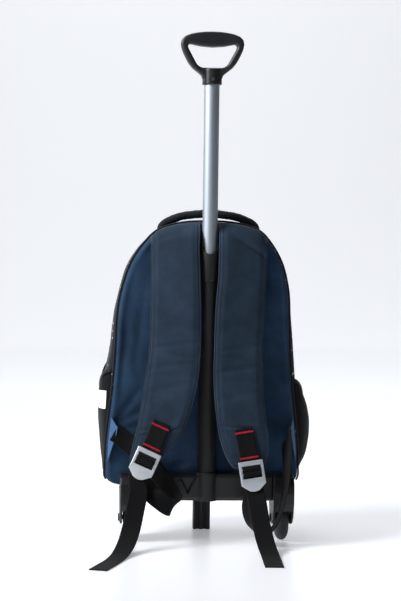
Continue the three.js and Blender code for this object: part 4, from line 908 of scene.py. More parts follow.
middle = zip_line(ZIP_Y, 0)
count = len(middle)
tape_rows = []
for y, out in TAPE_SECTION:
    line = zip_line(ZIP_Y + y, out + 0.4)
    shares = np.linspace(0, 1, len(line))
    tape_rows.append(np.stack([np.interp(np.linspace(0, 1, count), shares, line[:, k])
                               for k in range(3)], axis=1))
tape_rows = np.array(tape_rows)
run = lengths_along(tape_rows[0])
zip_tape = join(piece("zip_tape", tape_rows.reshape(-1, 3), grid_faces(len(TAPE_SECTION), count),
                      [(y, a) for y in range(0, ZIP_WIDTH, 3) for a in run]),
                black_webbing, ["main_zip"])
declare_sheet(zip_tape, ZIP_WIDTH, float(run[-1]))

# %% [markdown]
# A nylon coil's turns stand side by side across the two tapes. At this size only their outer
# bends show, so each turn is a small block with a narrow face, set in turn a little to one side
# and to the other, and all of them are one mesh, which keeps the scene light.

# %% Wind the zip's coil
def small_blocks(name, places, along, out, size):
    """Many small bevelled blocks in one mesh, each turned to its own direction."""
    corners, faces = [], []
    pattern = [(0, 1, 3, 2), (4, 6, 7, 5), (0, 4, 5, 1), (2, 3, 7, 6), (0, 2, 6, 4), (1, 5, 7, 3)]
    for p, a, o in zip(places, unit(along), unit(out)):
        b = np.cross(a, o)
        first = len(corners)
        for k in range(8):
            s = [1 if k & bit else -1 for bit in (1, 2, 4)]
            narrow = 0.55 if s[2] > 0 else 1.0
            corners.append(p + a * s[0] * size[0] / 2 * narrow + b * s[1] * size[1] / 2 * narrow
                           + o * s[2] * size[2] / 2)
        faces += [tuple(first + i for i in face) for face in pattern]
    return face_outward(piece(name, corners, faces, sharp=60))


COIL_SPACING = 1.8
tooth_line = zip_line(ZIP_Y, 1.6)
tooth_run = lengths_along(tooth_line)
spots = np.arange(2, tooth_run[-1], COIL_SPACING)
teeth = np.stack([np.interp(spots, tooth_run, tooth_line[:, k]) for k in range(3)], axis=1)
direction = np.gradient(teeth, axis=0)
outwards = unit(teeth - np.array([0, ZIP_Y, 300.0]))
offset = np.where(np.arange(len(teeth)) % 2, 1.0, -1.0)[:, None] * np.array([0.0, 1.0, 0.0])
join(small_blocks("zip_coil", teeth + offset, direction, outwards, (1.1, 3.4, 1.3)),
     piping_cloth)
print("zip turns:", len(teeth))

# %% [markdown]
# ## Shoulder straps
# Each strap is a foam core in slate cloth, closed by a narrow binding tape along both edges.
# Its middle line and width come from a table of rows from the top seam to the buckle. The foam
# gives a flat, full middle and soft shoulders. Where a strap bends, short cross creases form,
# mostly half way down, and a deep one crosses the right strap just under its seam.

# %% Describe the straps
STRAP_WIDTH, STRAP_DROP, STANDOFF = 81, 386, 50
STRAP_TOP = BOTTOM + HEIGHT - 13
STRAPS = {  # drop, inner edge, outer edge, slope, standoff of the inner edge, of the outer edge
    "left": [(0, .2, 1.19, .064, .073, .073), (.036, .21, 1.19, .045, .34, .2),
             (.104, .22, 1.19, .02, .48, .24), (.197, .2, 1.185, .01, .52, .26),
             (.298, .18, 1.185, .005, .52, .28), (.402, .17, 1.19, .005, .53, .31),
             (.505, .175, 1.21, .005, .57, .37), (.619, .21, 1.285, .008, .65, .47),
             (.712, .3, 1.345, .012, .74, .6), (.806, .42, 1.425, .03, .85, .75),
             (.881, .56, 1.53, .06, .92, .86), (.943, .72, 1.58, .07, .98, .95),
             (.984, .93, 1.53, .045, 1, 1)],
    "right": [(0, .18, 1.185, .055, .073, .073), (.036, .18, 1.17, .04, .34, .2),
              (.104, .18, 1.16, .02, .48, .24), (.197, .17, 1.15, .01, .54, .26),
              (.298, .13, 1.13, 0, .56, .28), (.402, .11, 1.11, 0, .57, .31),
              (.505, .1, 1.09, 0, .6, .37), (.619, .09, 1.1, 0, .66, .47),
              (.712, .115, 1.12, 0, .74, .6), (.806, .16, 1.165, 0, .85, .75),
              (.881, .23, 1.21, -.005, .92, .86), (.953, .36, 1.19, -.01, .98, .95),
              (.995, .5, 1.1, -.01, 1, 1)],
}
CREASES = {  # drop, slant across, depth in mm, width as a share of the drop
    "left": [(.03, .02, .8, .012), (.3, -.01, .5, .02), (.49, .012, 1.0, .011),
             (.53, -.02, 1.3, .010), (.575, .015, 1.2, .011), (.62, -.012, 1.0, .012),
             (.67, .02, .7, .014), (.845, -.02, 1.6, .006)],
    "right": [(.055, .045, 2.4, .012), (.28, .012, .5, .02), (.5, -.014, 1.1, .011),
              (.545, .02, 1.4, .010), (.59, -.018, 1.3, .011), (.64, .012, 1.0, .012),
              (.7, -.02, .7, .014), (.835, .01, 1.6, .006)],
}


def strap_frames(side, rows):
    """Middle, half width, way down and way out of the strap at each row."""
    rows = np.asarray(rows, float)
    z = STRAP_TOP - rows[:, 0] * STRAP_DROP
    tilt = rows[:, 3] * STRAP_DROP / 2
    inner = np.stack([side * rows[:, 1] * STRAP_WIDTH, BACK_Y - rows[:, 4] * STANDOFF, z + tilt], 1)
    outer = np.stack([side * rows[:, 2] * STRAP_WIDTH, BACK_Y - rows[:, 5] * STANDOFF, z - tilt], 1)
    middle, half = (inner + outer) / 2, (outer - inner) / 2
    down = unit(np.gradient(inner + outer, axis=0))
    out = unit(np.cross(half, down))
    out[out[:, 1] > 0] *= -1
    return middle, half, down, out


print("strap rows:", {name: len(rows) for name, rows in STRAPS.items()})

# %% [markdown]
# The straps' top ends are caught in the panel's top seam, so they are drawn up to the arch of the
# panel and flattened over its rounded rim.

# %% Sew the straps into the top seam
arch = panel_ring[panel_ring[:, 1] > 380]
arch = arch[np.argsort(arch[:, 0])]


def into_seam(name, points, drop):
    """Move points near a strap's top up to the panel's arch, by the drop of their row."""
    side = -1 if name == "left" else 1
    row = STRAPS[name][0]
    ends = [side * row[1] * STRAP_WIDTH, side * row[2] * STRAP_WIDTH]
    tilt = row[3] * STRAP_DROP / 2
    at = (points[:, 0] - ends[0]) / (ends[1] - ends[0])
    line = STRAP_TOP + tilt - 2 * tilt * at
    rise = np.interp(points[:, 0], arch[:, 0], arch[:, 1]) - 1.0 - line
    moved = points.copy()
    moved[:, 2] += max(0.0, 1 - drop / 0.1) ** 1.5 * rise
    moved[:, 1] += max(0.0, 1 - drop / 0.05) ** 1.3 * 8.5
    return moved


print("panel's arch, mm above the floor:", round(float(arch[:, 1].min())), "to",
      round(float(arch[:, 1].max())))

# %% [markdown]
# A strap is a skin of rings, one for each row, and each ring has a full front and a full back.
# The pillow's height falls off quickly near both edges, as foam does under a sewn edge. Creases
# and slack only take thickness away, so the strap never swells into the panel behind it.

# %% Pad the straps
ROWS, HALF_RING = 230, 41
SHARE = np.sin(np.linspace(-1, 1, HALF_RING) * np.pi / 2)
strap_places = {}
for name, side in (("left", -1), ("right", 1)):
    rows = curve_at(STRAPS[name], np.linspace(0, 1, ROWS))
    middle, half, down, out = strap_frames(side, rows)
    strap_places[name] = (middle, half, down, out, rows[:, 0])
    pillow = 1.7 + 4.3 * np.clip((1 - np.abs(SHARE) - 0.05) / 0.26, 0, 1) ** 0.6
    rings = []
    for i in range(ROWS):
        flat_points = into_seam(name, middle[i] + SHARE[:, None] * half[i], rows[i, 0])
        crease = sum(deep * np.exp(-((rows[i, 0] - at - slant * SHARE) / wide) ** 2)
                     for at, slant, deep, wide in CREASES[name])
        slack = 0.55 * (1 + bumpy(flat_points * np.array([1, 1, 0.6]), 30, 6 + side))
        slack += 0.2 * (1 + bumpy(flat_points, 9, 8 + side))
        calm = np.clip((1 - np.abs(SHARE)) / 0.2, 0, 1)
        thin = min(1.0, 0.5 + i / 12, 0.45 + (ROWS - 1 - i) / 9) * (0.82 if rows[i, 0] > 0.845 else 1)
        front_side = flat_points + out[i] * (pillow * thin - calm * (crease + slack))[:, None]
        back_side = flat_points - out[i] * (pillow * thin - 0.4 * calm * crease)[:, None]
        rings.append(np.concatenate([front_side, back_side[::-1]]))
    run = lengths_along(middle)
    widths = np.linalg.norm(half, axis=1)
    uvs = [(s * widths[i], run[i]) for i in range(ROWS)
           for s in np.concatenate([SHARE, SHARE[::-1]])]
    strap = join(skin(f"padded_strap_{name}", rings, uvs), strap_cloth,
                 [f"shoulder_strap_{name}"])

# %% [markdown]
# The binding tape is folded over the strap's raw edge and sewn through. Its stitches are drawn
# 2.9 mm long, one every 4.2 mm, so that they show, and they run in a row just inside the tape.

# %% Bind and stitch the straps
STITCH_SPACING, STITCH_RISE, STITCH, SEAM_DROP = 4.2, 4.15, (2.9, 0.6, 0.5), 0.86
for name, side in (("left", -1), ("right", 1)):
    middle, half, down, out, drops = strap_places[name]
    last = ROWS - 2
    edges = {s: np.array([into_seam(name, (middle[i] + half[i] * s)[None], drops[i])[0]
                          for i in range(ROWS)]) for s in (-0.965, -0.885, 0.885, 0.965)}
    inner = list(edges[-0.965][1:last])
    bottom = [middle[last] + half[last] * s + down[last] * 1.5 for s in np.linspace(-0.86, 0.86, 9)]
    outer = list(edges[0.965][last - 1:0:-1])
    ways = np.array([out[i] for i in range(1, last)] + [out[last]] * 9
                    + [out[i] for i in range(last - 1, 0, -1)])
    join(tube(f"strap_binding_{name}", inner + bottom + outer, 1.9, 12, second=1.7, outward=ways),
         binding_cloth)
    places, along, outs = [], [], []
    for s in (-0.885, 0.885):
        line = edges[s] + out * STITCH_RISE
        run = lengths_along(line)
        for spot in np.arange(8, run[-1] - 6, STITCH_SPACING):
            i = int(np.searchsorted(run, spot)) - 1
            w = (spot - run[i]) / max(run[i + 1] - run[i], 1e-6)
            places.append(line[i] * (1 - w) + line[i + 1] * w)
            along.append(down[i])
            outs.append(out[i])
    seam = int(np.searchsorted(drops, SEAM_DROP))
    for s in np.arange(-0.84, 0.85, 0.1):
        i = seam + int(round(-6 * s * (1 if name == "left" else -0.5)))
        places.append(middle[i] + half[i] * s + out[i] * 4.6)
        along.append(half[i])
        outs.append(out[i])
    join(small_blocks(f"strap_stitches_{name}", np.array(places), np.array(along), np.array(outs),
                      STITCH), slate_thread)

# %% [markdown]
# ## Webbing
# All webbing is a flat band, 30 mm wide and 1.6 mm thick. It is swept through points, each with
# its own direction across the band, so it can lie, twist and turn round a rod. Its edges are
# slightly thicker than its middle, as selvedges are.

# %% Sweep a flat band
WEBBING_WIDTH, WEBBING_THICKNESS = 30.0, 1.6


def band_of(name, points, acrosses, width=WEBBING_WIDTH, thickness=WEBBING_THICKNESS, steps=14):
    """A webbing band through points, as a closed skin with a map along it."""
    count = (len(points) - 1) * steps + 1
    line = curve_at(points, np.linspace(0, 1, count))
    along = unit(np.gradient(line, axis=0))
    turn = curve_at(acrosses, np.linspace(0, 1, count))
    turn = unit(turn - (turn * along).sum(axis=1, keepdims=True) * along)
    out = np.cross(along, turn)
    shape = [(-0.5, 0.0), (-0.48, 0.42), (-0.43, 0.55), (-0.36, 0.46), (0.0, 0.44), (0.36, 0.46),
             (0.43, 0.55), (0.48, 0.42), (0.5, 0.0)]
    shape += [(a, -b) for a, b in shape[-2:0:-1]]
    run = lengths_along(line)
    rings = [[line[i] + turn[i] * a * width + out[i] * b * thickness for a, b in shape]
             for i in range(count)]
    uvs = [(a * width + (0 if b > 0 else 100), run[i]) for i in range(count) for a, b in shape]
    return skin(name, rings, uvs)


print("webbing:", WEBBING_WIDTH, "x", WEBBING_THICKNESS, "mm")

# %% [markdown]
# ## Buckles
# A buckle is a cast plate with a window and two rods. The strap's patch goes behind its top bar
# and round the upper rod. The adjusting webbing comes up behind, goes over the lower rod and
# falls away in front. Each buckle hangs from the end of its strap, so its seat is worked out from
# the strap's last rows: a tip, a way up, a way across and a way out.

# %% Seat the buckles on the straps
BUCKLE_WIDTH, BUCKLE_LENGTH, BUCKLE_THICKNESS, PROUD = 40.5, 50.0, 3.2, 12.5
SLOTS = ((22.0, 27.5), (30.7, 35.9), (39.1, 42.5))
SEATS = {"left": dict(overlap=22, turn=-0.1, aside=-4.5, patch=0.1),
         "right": dict(overlap=9, turn=0.0, aside=3.0, patch=0.4)}
buckles = {}
for name, side in (("left", -1), ("right", 1)):
    middle, half, down, out = strap_frames(side, STRAPS[name])
    seat = SEATS[name]
    lie = unit(out[-3])
    up = np.array(Matrix.Rotation(seat["turn"], 3, Vector(lie)) @ Vector(-down[-3]))
    tip = middle[-1] + np.array([seat["aside"], 0, 0]) + up * (seat["overlap"] - BUCKLE_LENGTH)
    patch_top = middle[-4] * (1 - seat["patch"]) + middle[-3] * seat["patch"] + out[-4] * 7.4
    buckles[name] = dict(tip=tip + lie * PROUD, up=up, out=lie, across=unit(np.cross(up, lie)),
                         patch_top=patch_top)
    print(name, "buckle's tip, mm above the floor:", round(float(buckles[name]["tip"][2]), 1))


def in_buckle(buckle, u, v, w):
    """A place in a buckle's own frame: across, up from its tip, and out."""
    return buckle["tip"] + buckle["across"] * u + buckle["up"] * v + buckle["out"] * w


# %% [markdown]
# A curve object can fill a flat outline with holes, thicken it and round its edges, which is
# the shortest way to a cast plate. It is turned into a mesh, and points that lie on each other
# are merged before it is moved to its seat.

# %% Cut a plate
def plate(name, loops, thickness, bevel, place=None, rounds=4):
    """A flat plate with holes and rounded edges, from closed loops of x, y points."""
    curve = bpy.data.curves.new(name, "CURVE")
    curve.dimensions, curve.fill_mode = "2D", "BOTH"
    curve.extrude = (thickness / 2 - bevel) * MM
    curve.bevel_depth, curve.bevel_resolution, curve.offset = bevel * MM, rounds, -bevel * MM
    for loop in loops:
        spline = curve.splines.new("POLY")
        spline.points.add(len(loop) - 1)
        spline.points.foreach_set("co", [c for x, y in loop for c in (x * MM, y * MM, 0, 1)])
        spline.use_cyclic_u = True
    drawn = bpy.data.objects.new(name + "_drawn", curve)
    bpy.context.scene.collection.objects.link(drawn)
    bpy.context.view_layer.update()
    mesh = bpy.data.meshes.new_from_object(drawn.evaluated_get(bpy.context.evaluated_depsgraph_get()))
    bpy.data.objects.remove(drawn)
    shaped = bmesh.new()
    shaped.from_mesh(mesh)
    bmesh.ops.remove_doubles(shaped, verts=shaped.verts, dist=0.02 * MM)
    bmesh.ops.recalc_face_normals(shaped, faces=shaped.faces)
    if place is not None:
        bmesh.ops.transform(shaped, matrix=place, verts=shaped.verts)
    shaped.to_mesh(mesh)
    shaped.free()
    mesh.polygons.foreach_set("use_smooth", [True] * len(mesh.polygons))
    mesh.set_sharp_from_angle(angle=math.radians(40))
    made = bpy.data.objects.new(name, mesh)
    bpy.context.scene.collection.objects.link(made)
    return made


print("a plate has", len(SLOTS), "slots")

# %% [markdown]
# The buckle's outline has a rounded upper corner, a rounded shoulder and a blunt tip. Half of it
# is drawn with quadratic bows and mirrored, so that both sides are the same. Cast edges are
# round, so the plate gets a bevel of 0.8 mm.

# %% Cast the buckles
def bow(a, b, c, count=8):
    """Points on a quadratic bow from a over b to c."""
    shares = np.linspace(0, 1, count)[:, None]
    a, b, c = (np.array(p, float) for p in (a, b, c))
    return [tuple(p) for p in (1 - shares) ** 2 * a + 2 * shares * (1 - shares) * b + shares ** 2 * c]


half_width = BUCKLE_WIDTH / 2
top_corner = bow((half_width - 1.5, BUCKLE_LENGTH), (half_width, BUCKLE_LENGTH),
                 (half_width, BUCKLE_LENGTH - 1.5), 5)
shoulder = bow((half_width, 12), (half_width, 11.2), (half_width - 1.5, 10.5), 5)
tip_bow = bow((0.4 * half_width, 1.68), (0.2 * half_width, 0), (0, 0))
right_half = top_corner + shoulder + tip_bow
buckle_loop = right_half + [(-x, y) for x, y in right_half[-2::-1]]
SLOT_HALF, CAST_EDGE = 15.6, 0.8
slot_loops = [[(-SLOT_HALF, low), (SLOT_HALF, low), (SLOT_HALF, high), (-SLOT_HALF, high)]
              for low, high in SLOTS]
for name, buckle in buckles.items():
    axes = np.stack([buckle["across"], buckle["up"], buckle["out"]], axis=1)
    place = Matrix(axes.tolist()).to_4x4()
    place.translation = Vector(buckle["tip"]) * MM
    join(plate(f"cast_buckle_{name}", [buckle_loop] + slot_loops, BUCKLE_THICKNESS, CAST_EDGE, place),
         cast_zinc, [f"buckle_{name}"])

# %% [markdown]
# The patch that holds a buckle is a short piece of webbing sewn on the strap's end. Two dense
# zigzag rows of red thread, called bar tacks, carry its load, and they run over its full width.

# %% Sew the patches with their bar tacks
TACK_SPACING, TACK = 0.85, (3.4, 0.95, 0.9)
REACH = BUCKLE_THICKNESS / 2 + WEBBING_THICKNESS / 2 + 0.48
SECOND = REACH + 1.9
PATCH_PATH = [(53, -REACH), (42.9, -REACH - .1), (41.4, -REACH + .5), (40.8, -.5), (40.2, REACH - .8),
              (38.9, REACH), (35.9, REACH), (34.6, REACH - .7), (34.1, 0), (34.6, .7 - REACH),
              (36.3, -REACH - .1), (39.1, .2 - SECOND), (44.5, -SECOND), (54, -SECOND)]
for name, buckle in buckles.items():
    points = [in_buckle(buckle, 0, v, w) for v, w in PATCH_PATH]
    top = buckle["patch_top"]
    points = [top, top * 0.45 + points[0] * 0.55] + points
    join(band_of(f"buckle_patch_{name}", points, [buckle["across"]] * len(points), steps=10),
         black_webbing, [f"strap_patch_{name}"])
    line = curve_at(points, np.linspace(0, 3 / (len(points) - 1), 60))
    run = lengths_along(line)
    bar_length = np.linalg.norm(top - in_buckle(buckle, 0, 50, 0))
    tacks, along, outs = [], [], []
    for at in (7.0, bar_length - 6.4):
        i = int(np.searchsorted(run, at))
        step = unit(line[i + 1] - line[i - 1])
        face = unit(np.cross(buckle["across"], step))
        face = face if face @ buckle["out"] > 0 else -face
        for k in np.arange(-14.6, 14.7, TACK_SPACING):
            tacks.append(line[i] + buckle["across"] * k + face * 1.0)
            along.append(step + buckle["across"] * 0.16 * (1 if int(k / TACK_SPACING) % 2 else -1))
            outs.append(face)
    join(small_blocks(f"bar_tacks_{name}", np.array(tacks), np.array(along), np.array(outs),
                      TACK), red_thread)

# %% [markdown]
# The adjusting webbing starts at the side tab, sinks into a slack loop, comes up behind the
# buckle, turns over the lower rod and hangs down to the floor, where its end lies flat.

# %% Choose the webbing's route
BEHIND, LOAD_GAP = BUCKLE_THICKNESS / 2 + WEBBING_THICKNESS / 2 + 0.6, 2.3
THREADED = [(6, -BEHIND - LOAD_GAP - 2), (24, -BEHIND - LOAD_GAP), (29.2, -BEHIND - .8),
            (31.7, -BEHIND + .5), (32.4, -.4), (31.8, BEHIND - .8), (30.5, BEHIND), (27.7, BEHIND),
            (26.3, BEHIND - .8), (25.6, 0), (25.7, -BEHIND + .6), (23, -BEHIND - .1),
            (11, -BEHIND - .1), (1, -BEHIND - .3)]
ROUTES = {  # share of the half width, standoff, share of the height, way across the band
    "left": dict(
        down=[(-.955, .3, .885, (.05, .05, 1)), (-.907, .3, .8627, (.1, .05, 1)),
              (-.82, .31, .8039, (.3, 0, .95)),
              (-.696, .42, .7206, (.45, -.1, .85)), (-.547, .56, .6078, (.6, -.2, .75)),
              (-.422, .76, .4804, (.7, -.3, .6))],
        up=[(-.335, .98, .6529, (.7, -.35, .6)), (-.373, 1.26, .5785, (.55, .05, .85)),
            (-.515, 1.34, .7089, (.6, .15, .8)), (-.615, 1.2, .8373, (.95, .05, .1))],
        fall=[(-.714, 1.5, .8209, (1, 0, -.25)), (-.745, 1.68, .5783, (1, 0, -.15)),
              (-.783, 1.98, .3452, (1, 0, -.05)), (-.832, 2.42, .1585, (1, -.1, 0)),
              (-.894, 2.98, .0466, (1, -.25, 0)), (-.957, 3.6, .0148, (1, -.4, 0)),
              (-1.037, 4.36, .0112, (1, -.7, 0)), (-1.124, 5.14, .0112, (.7, -1, 0))]),
    "right": dict(
        down=[(.862, .3, .9, (.2, -.1, 1)), (.83, .38, .8725, (.3, -.3, 1)),
              (.807, .56, .799, (.4, -.8, .3)), (.801, .84, .6765, (.3, -.93, 0)),
              (.789, 1.06, .5196, (.25, -.95, 0)),
              (.752, 1.14, .3627, (.15, -1, 0)), (.702, 1.16, .2108, (.05, -1, 0))],
        up=[(.627, 1.16, .2731, (.05, -1, 0)), (.528, 1.18, .2294, (.15, -1, 0)),
            (.447, 1.14, .3607, (.35, -.9, 0)), (.416, 1.12, .6011, (.7, -.65, 0)),
            (.435, 1.2, .8196, (.95, -.25, 0))],
        fall=[(.484, 1.48, .8305, (1, 0, .1)), (.503, 1.68, .6011, (1, 0, .05)),
              (.528, 2, .3498, (1, 0, 0)), (.553, 2.44, .1529, (1, 0, 0)),
              (.571, 3, .0437, (1, 0, 0)), (.571, 3.6, .0154, (1, 0, 0)),
              (.565, 4.16, .0132, (1, 0, 0)), (.559, 4.72, .0132, (1, 0, 0))]),
}
TAB_TOP = 204
print("points by hand:", {name: sum(map(len, route.values())) for name, route in ROUTES.items()})

# %% [markdown]
# The legs are joined in the order in which the band runs: down from the tab, up behind the
# buckle, through it in the buckle's own frame, and the fall to the floor. One band is swept
# along all of them, so it has no joint.

# %% Thread the adjusting webbing
for name, route in ROUTES.items():
    buckle = buckles[name]
    points, acrosses = [], []
    along = buckle["across"] * (-1 if buckle["across"][0] < 0 else 1)
    for leg in ("down", "up", "threaded", "fall"):
        if leg == "threaded":
            points += [in_buckle(buckle, 0, v, w) for v, w in THREADED]
            acrosses += [along] * len(THREADED)
            continue
        full = TAB_TOP if leg == "down" else buckle["tip"][2]
        points += [np.array([s * HALF_WIDTH, BACK_Y - f * STANDOFF, h * full])
                   for s, f, h, a in route[leg]]
        acrosses += [np.array(a, float) for s, f, h, a in route[leg]]
    join(band_of(f"adjusting_webbing_{name}", points, acrosses), black_webbing,
         [f"adjuster_webbing_{name}"])

# %% [markdown]
# ## Side tabs
# Two tapered pieces of pale blue cloth are sewn into the side seams, and each holds the end of
# its adjusting webbing. A tab is one cloth folded double, so it is made as a front and a back
# sheet that meet at their edges. It stands off the panel towards the pull of the webbing.

# %% Fold the side tabs
TAB_ROWS, TAB_COLUMNS, TAB_HEIGHT = 26, 22, 74
TIP_HEIGHTS = ((179.3, 189), (167, 179))  # where the panel's edge is read, where the tip lies
inset = moved_out(panel_ring, -3.5)
for name, side in (("left", -1), ("right", 1)):
    reach = 13 if side < 0 else 8
    fold_z = np.linspace(TAB_TOP, TAB_TOP - TAB_HEIGHT, TAB_ROWS)
    edge_x = [edges_at(inset, z)[0 if side < 0 else 1] for z in fold_z]
    tip_high, tip_low = (np.array([float(edges_at(inset, read)[0 if side < 0 else 1]) - side * reach,
                                   BACK_Y - 17.0, tip]) for read, tip in TIP_HEIGHTS)
    sheets = []
    for layer in (0.95, -0.95):
        grid = []
        for i, (z, x) in enumerate(zip(fold_z, edge_x)):
            base = np.array([x, BACK_Y - 1.0, z])
            share = i / (TAB_ROWS - 1)
            end = tip_high * (1 - share) + tip_low * share
            for j in range(TAB_COLUMNS):
                t = j / (TAB_COLUMNS - 1)
                swell = 0.5 * math.sin(math.pi * t) * noise.noise(Vector((z / 11, t * 2, side * 3.0)))
                p = base * (1 - t) + end * t
                thick = layer * min(1.0, 0.35 + 4 * min(t + 0.2, 1 - t, share + 0.05, 1.05 - share))
                grid.append(p + np.array([0, -thick - swell - 0.2, 0]))
        sheets.append(np.array(grid).reshape(TAB_ROWS, TAB_COLUMNS, 3))
    ring_rows = [np.concatenate([a, b[::-1]]) for a, b in zip(*sheets)]
    tab_uv = [(float(p[0]), float(p[2])) for ring in ring_rows for p in ring]
    join(skin(f"side_tab_{name}_cloth", ring_rows, tab_uv), tab_cloth,
         [f"side_tab_{name}"])

# %% [markdown]
# ## Grab handle
# The handle over the sleeve is a padded tube of thick black knit over a strip of foam. Its ends
# are pinched and sewn into the seam, so its section gets thinner there. The knobs of the knit
# are large enough to break its outline, so they are moved out of the mesh itself.

# %% Pad the grab handle
GRAB_Y, GRAB_HALF, GRAB_TOP, GRAB_SEAM = -84, 80, BOTTOM + HEIGHT + 13.5, 513.5
GRAB_RINGS = 150
half_line = [(GRAB_HALF, GRAB_SEAM - 12), (77.6, GRAB_SEAM + 6), (49.6, GRAB_TOP - 6),
             (24, GRAB_TOP - 1.5)]
grab_points = [(-x, z) for x, z in half_line] + [(0, GRAB_TOP)] + half_line[::-1]
grab_line = even([(x, GRAB_Y, z) for x, z in grab_points], GRAB_RINGS)
share = np.linspace(0, 1, GRAB_RINGS)
pinch = np.clip(np.minimum(share, 1 - share) / 0.13, 0, 1) ** 0.8
away = grab_line - np.array([0, GRAB_Y, 400.0])
grab = tube("knit_grab_handle", grab_line, 5.0 + 2.0 * pinch, 36, second=9.2 - 1.0 * pinch,
            outward=away)
corners = np.array([v.co[:] for v in grab.data.vertices]) / MM
knobs = 0.55 * bumpy(corners, 3.4, 21) + 0.35 * bumpy(corners, 9, 22)
normals = np.array([v.normal[:] for v in grab.data.vertices])
grab.data.vertices.foreach_set("co", ((corners + normals * (knobs - 0.35)[:, None]) * MM).ravel())
grab.data.update()
join(grab, knit_cloth, ["grab_handle"])

# %% [markdown]
# ## The pull handle
# Round pieces are turned: a profile of radius and height is spun round the handle's axis. The
# sleeve is a plain black tube. Its collar flares out and has a hollow cut in its front rim, so
# that a finger can reach the drawn tube.

# %% Turn round pieces
def turned(name, profile, x=0.0, y=TUBE_Y, sides=96, sharp=35):
    """Spin a closed profile of radius and height round an upright axis."""
    angles = np.linspace(0, 2 * np.pi, sides, endpoint=False)
    points = [(x + r * math.cos(a), y + r * math.sin(a), z) for r, z in profile for a in angles]
    uvs = [(r * a, z) for r, z in profile for a in angles]
    return face_outward(piece(name, points, ring_faces(len(profile), sides), uvs, sharp))


def pipe_profile(bore, outside, low, top):
    """The wall of a pipe with edges broken by 0.4 mm, as radius and height."""
    return [(bore, low + 0.4), (bore + 0.4, low), (outside - 0.4, low), (outside, low + 0.4),
            (outside, top - 0.4), (outside - 0.4, top), (bore + 0.4, top), (bore, top - 0.4)]


TUBE_RADII, TUBE_ENDS = (11.2, 12.5), (407.7, 772.7)
SLEEVE_RADII, SLEEVE_ENDS = (12.8, 14.5), (92, 473.7)
join(turned("drawn_tube", pipe_profile(*TUBE_RADII, *TUBE_ENDS)), anodised_tube,
     ["handle_tube"], body="handle")
join(turned("sleeve_tube", pipe_profile(*SLEEVE_RADII, *SLEEVE_ENDS)), sleeve_plastic,
     ["handle_sleeve"])

# %% [markdown]
# The collar is a turned ring as well, but its back is flat where it lies against the panel and
# its front rim has the hollow. Each point of the turned profile is pushed flat or drawn down to
# where the hollow is, so nothing has to be cut out of a finished mesh.

# %% Hollow out the collar's rim
COLLAR_TOP, COLLAR_SIDES, SCOOP_RADIUS, SCOOP_DROP = 490.0, 128, 12.5, 2.5
SEAT_LOW, SEAT_TOP = 473, 474.05  # the step inside the collar that rests on the sleeve's end
COLLAR_PROFILE = [  # radius and height, up the outside, over the rim and down the bore
    (15.4, 430.3), (16.0, 430.0), (16.3, 432.0), (17.4, 474.0), (17.4, 487.6), (17.2, 489.2),
    (16.2, 490.0), (14.2, 490.0), (13.3, 489.2), (12.9, 487.6), (12.85, 474.2), (14.8, 474.0),
    (14.8, 430.3)]
collar_rings = []
for r, z in COLLAR_PROFILE:
    ring = []
    for a in np.linspace(0, 2 * np.pi, COLLAR_SIDES, endpoint=False):
        x, y = r * math.cos(a), TUBE_Y + r * math.sin(a)
        if z < SEAT_LOW:
            y = min(y, BACK_Y + 0.4)
        rim = COLLAR_TOP
        if y < TUBE_Y and abs(x) < SCOOP_RADIUS:
            rim = COLLAR_TOP - SCOOP_DROP - math.sqrt(SCOOP_RADIUS ** 2 - x * x)
        height = z
        if z > SEAT_TOP:
            height = z - (COLLAR_TOP - rim) * np.clip((z - 440) / 50, 0, 1)
        elif z > SEAT_LOW:
            height = min(z, rim - 1.0)
        ring.append((x, y, height))
    collar_rings.append(ring)
collar_points = [p for ring in collar_rings for p in ring]
join(face_outward(piece("collar_ring", collar_points, ring_faces(len(COLLAR_PROFILE), COLLAR_SIDES),
                        sharp=35)), sleeve_plastic, ["sleeve_collar"])

# %% [markdown]
# ## Moulded pieces
# The grip and the chassis were moulded, so each of their edges is rounded. The exact shape is
# wrapped in a fine net of small squares, and the net is relaxed a little, which rounds every edge
# and fillet as a mould maker does. The CAD mesh under it stays as it was.

# %% Round the moulded pieces
def mould(node, material, cell, rounds, strength=0.5):
    """Finish a CAD node with rounded edges, cell millimetres fine."""
    shown = bpy.data.objects[node]
    net = shown.modifiers.new("net", "REMESH")
    net.mode, net.voxel_size, net.use_smooth_shade = "VOXEL", cell * MM, True
    relax = shown.modifiers.new("relax", "SMOOTH")
    relax.factor, relax.iterations = strength, rounds
    shown.data.materials.clear()
    shown.data.materials.append(material)
    print("moulded", node)


mould("handle_grip", grip_plastic, 0.8, 14)
mould("chassis_beam", chassis_plastic, 1.0, 4)
for side_name in ("left", "right"):
    mould(f"wheel_fork_{side_name}", chassis_plastic, 1.0, 20)
    mould(f"wheel_hub_{side_name}", chassis_plastic, 0.6, 3)
mould("chassis_tray", chassis_plastic, 1.7, 4)
mould("support_foot", chassis_plastic, 0.6, 4)

# %% [markdown]
# The small metal pieces only need a fine edge that catches light, so each gets a bevel.

# %% Bevel the small metal pieces
EDGE = 0.35
for node, material in (("grip_screw", plated_zinc), ("wheel_axle_left", black_steel),
                       ("wheel_axle_right", black_steel), ("zip_slider_left", plated_zinc),
                       ("zip_slider_right", plated_zinc)):
    shown = bpy.data.objects[node]
    edge_round = shown.modifiers.new("edge", "BEVEL")
    edge_round.width, edge_round.segments, edge_round.limit_method = EDGE * MM, 3, "ANGLE"
    shown.data.materials.clear()
    shown.data.materials.append(material)
    print("bevelled", node)

# %% [markdown]
# ## Tyres
# Each tyre is a ring of cast polyurethane. Like a skate wheel's, its tread is strongly crowned,
# and a faint moulding line runs round its middle.

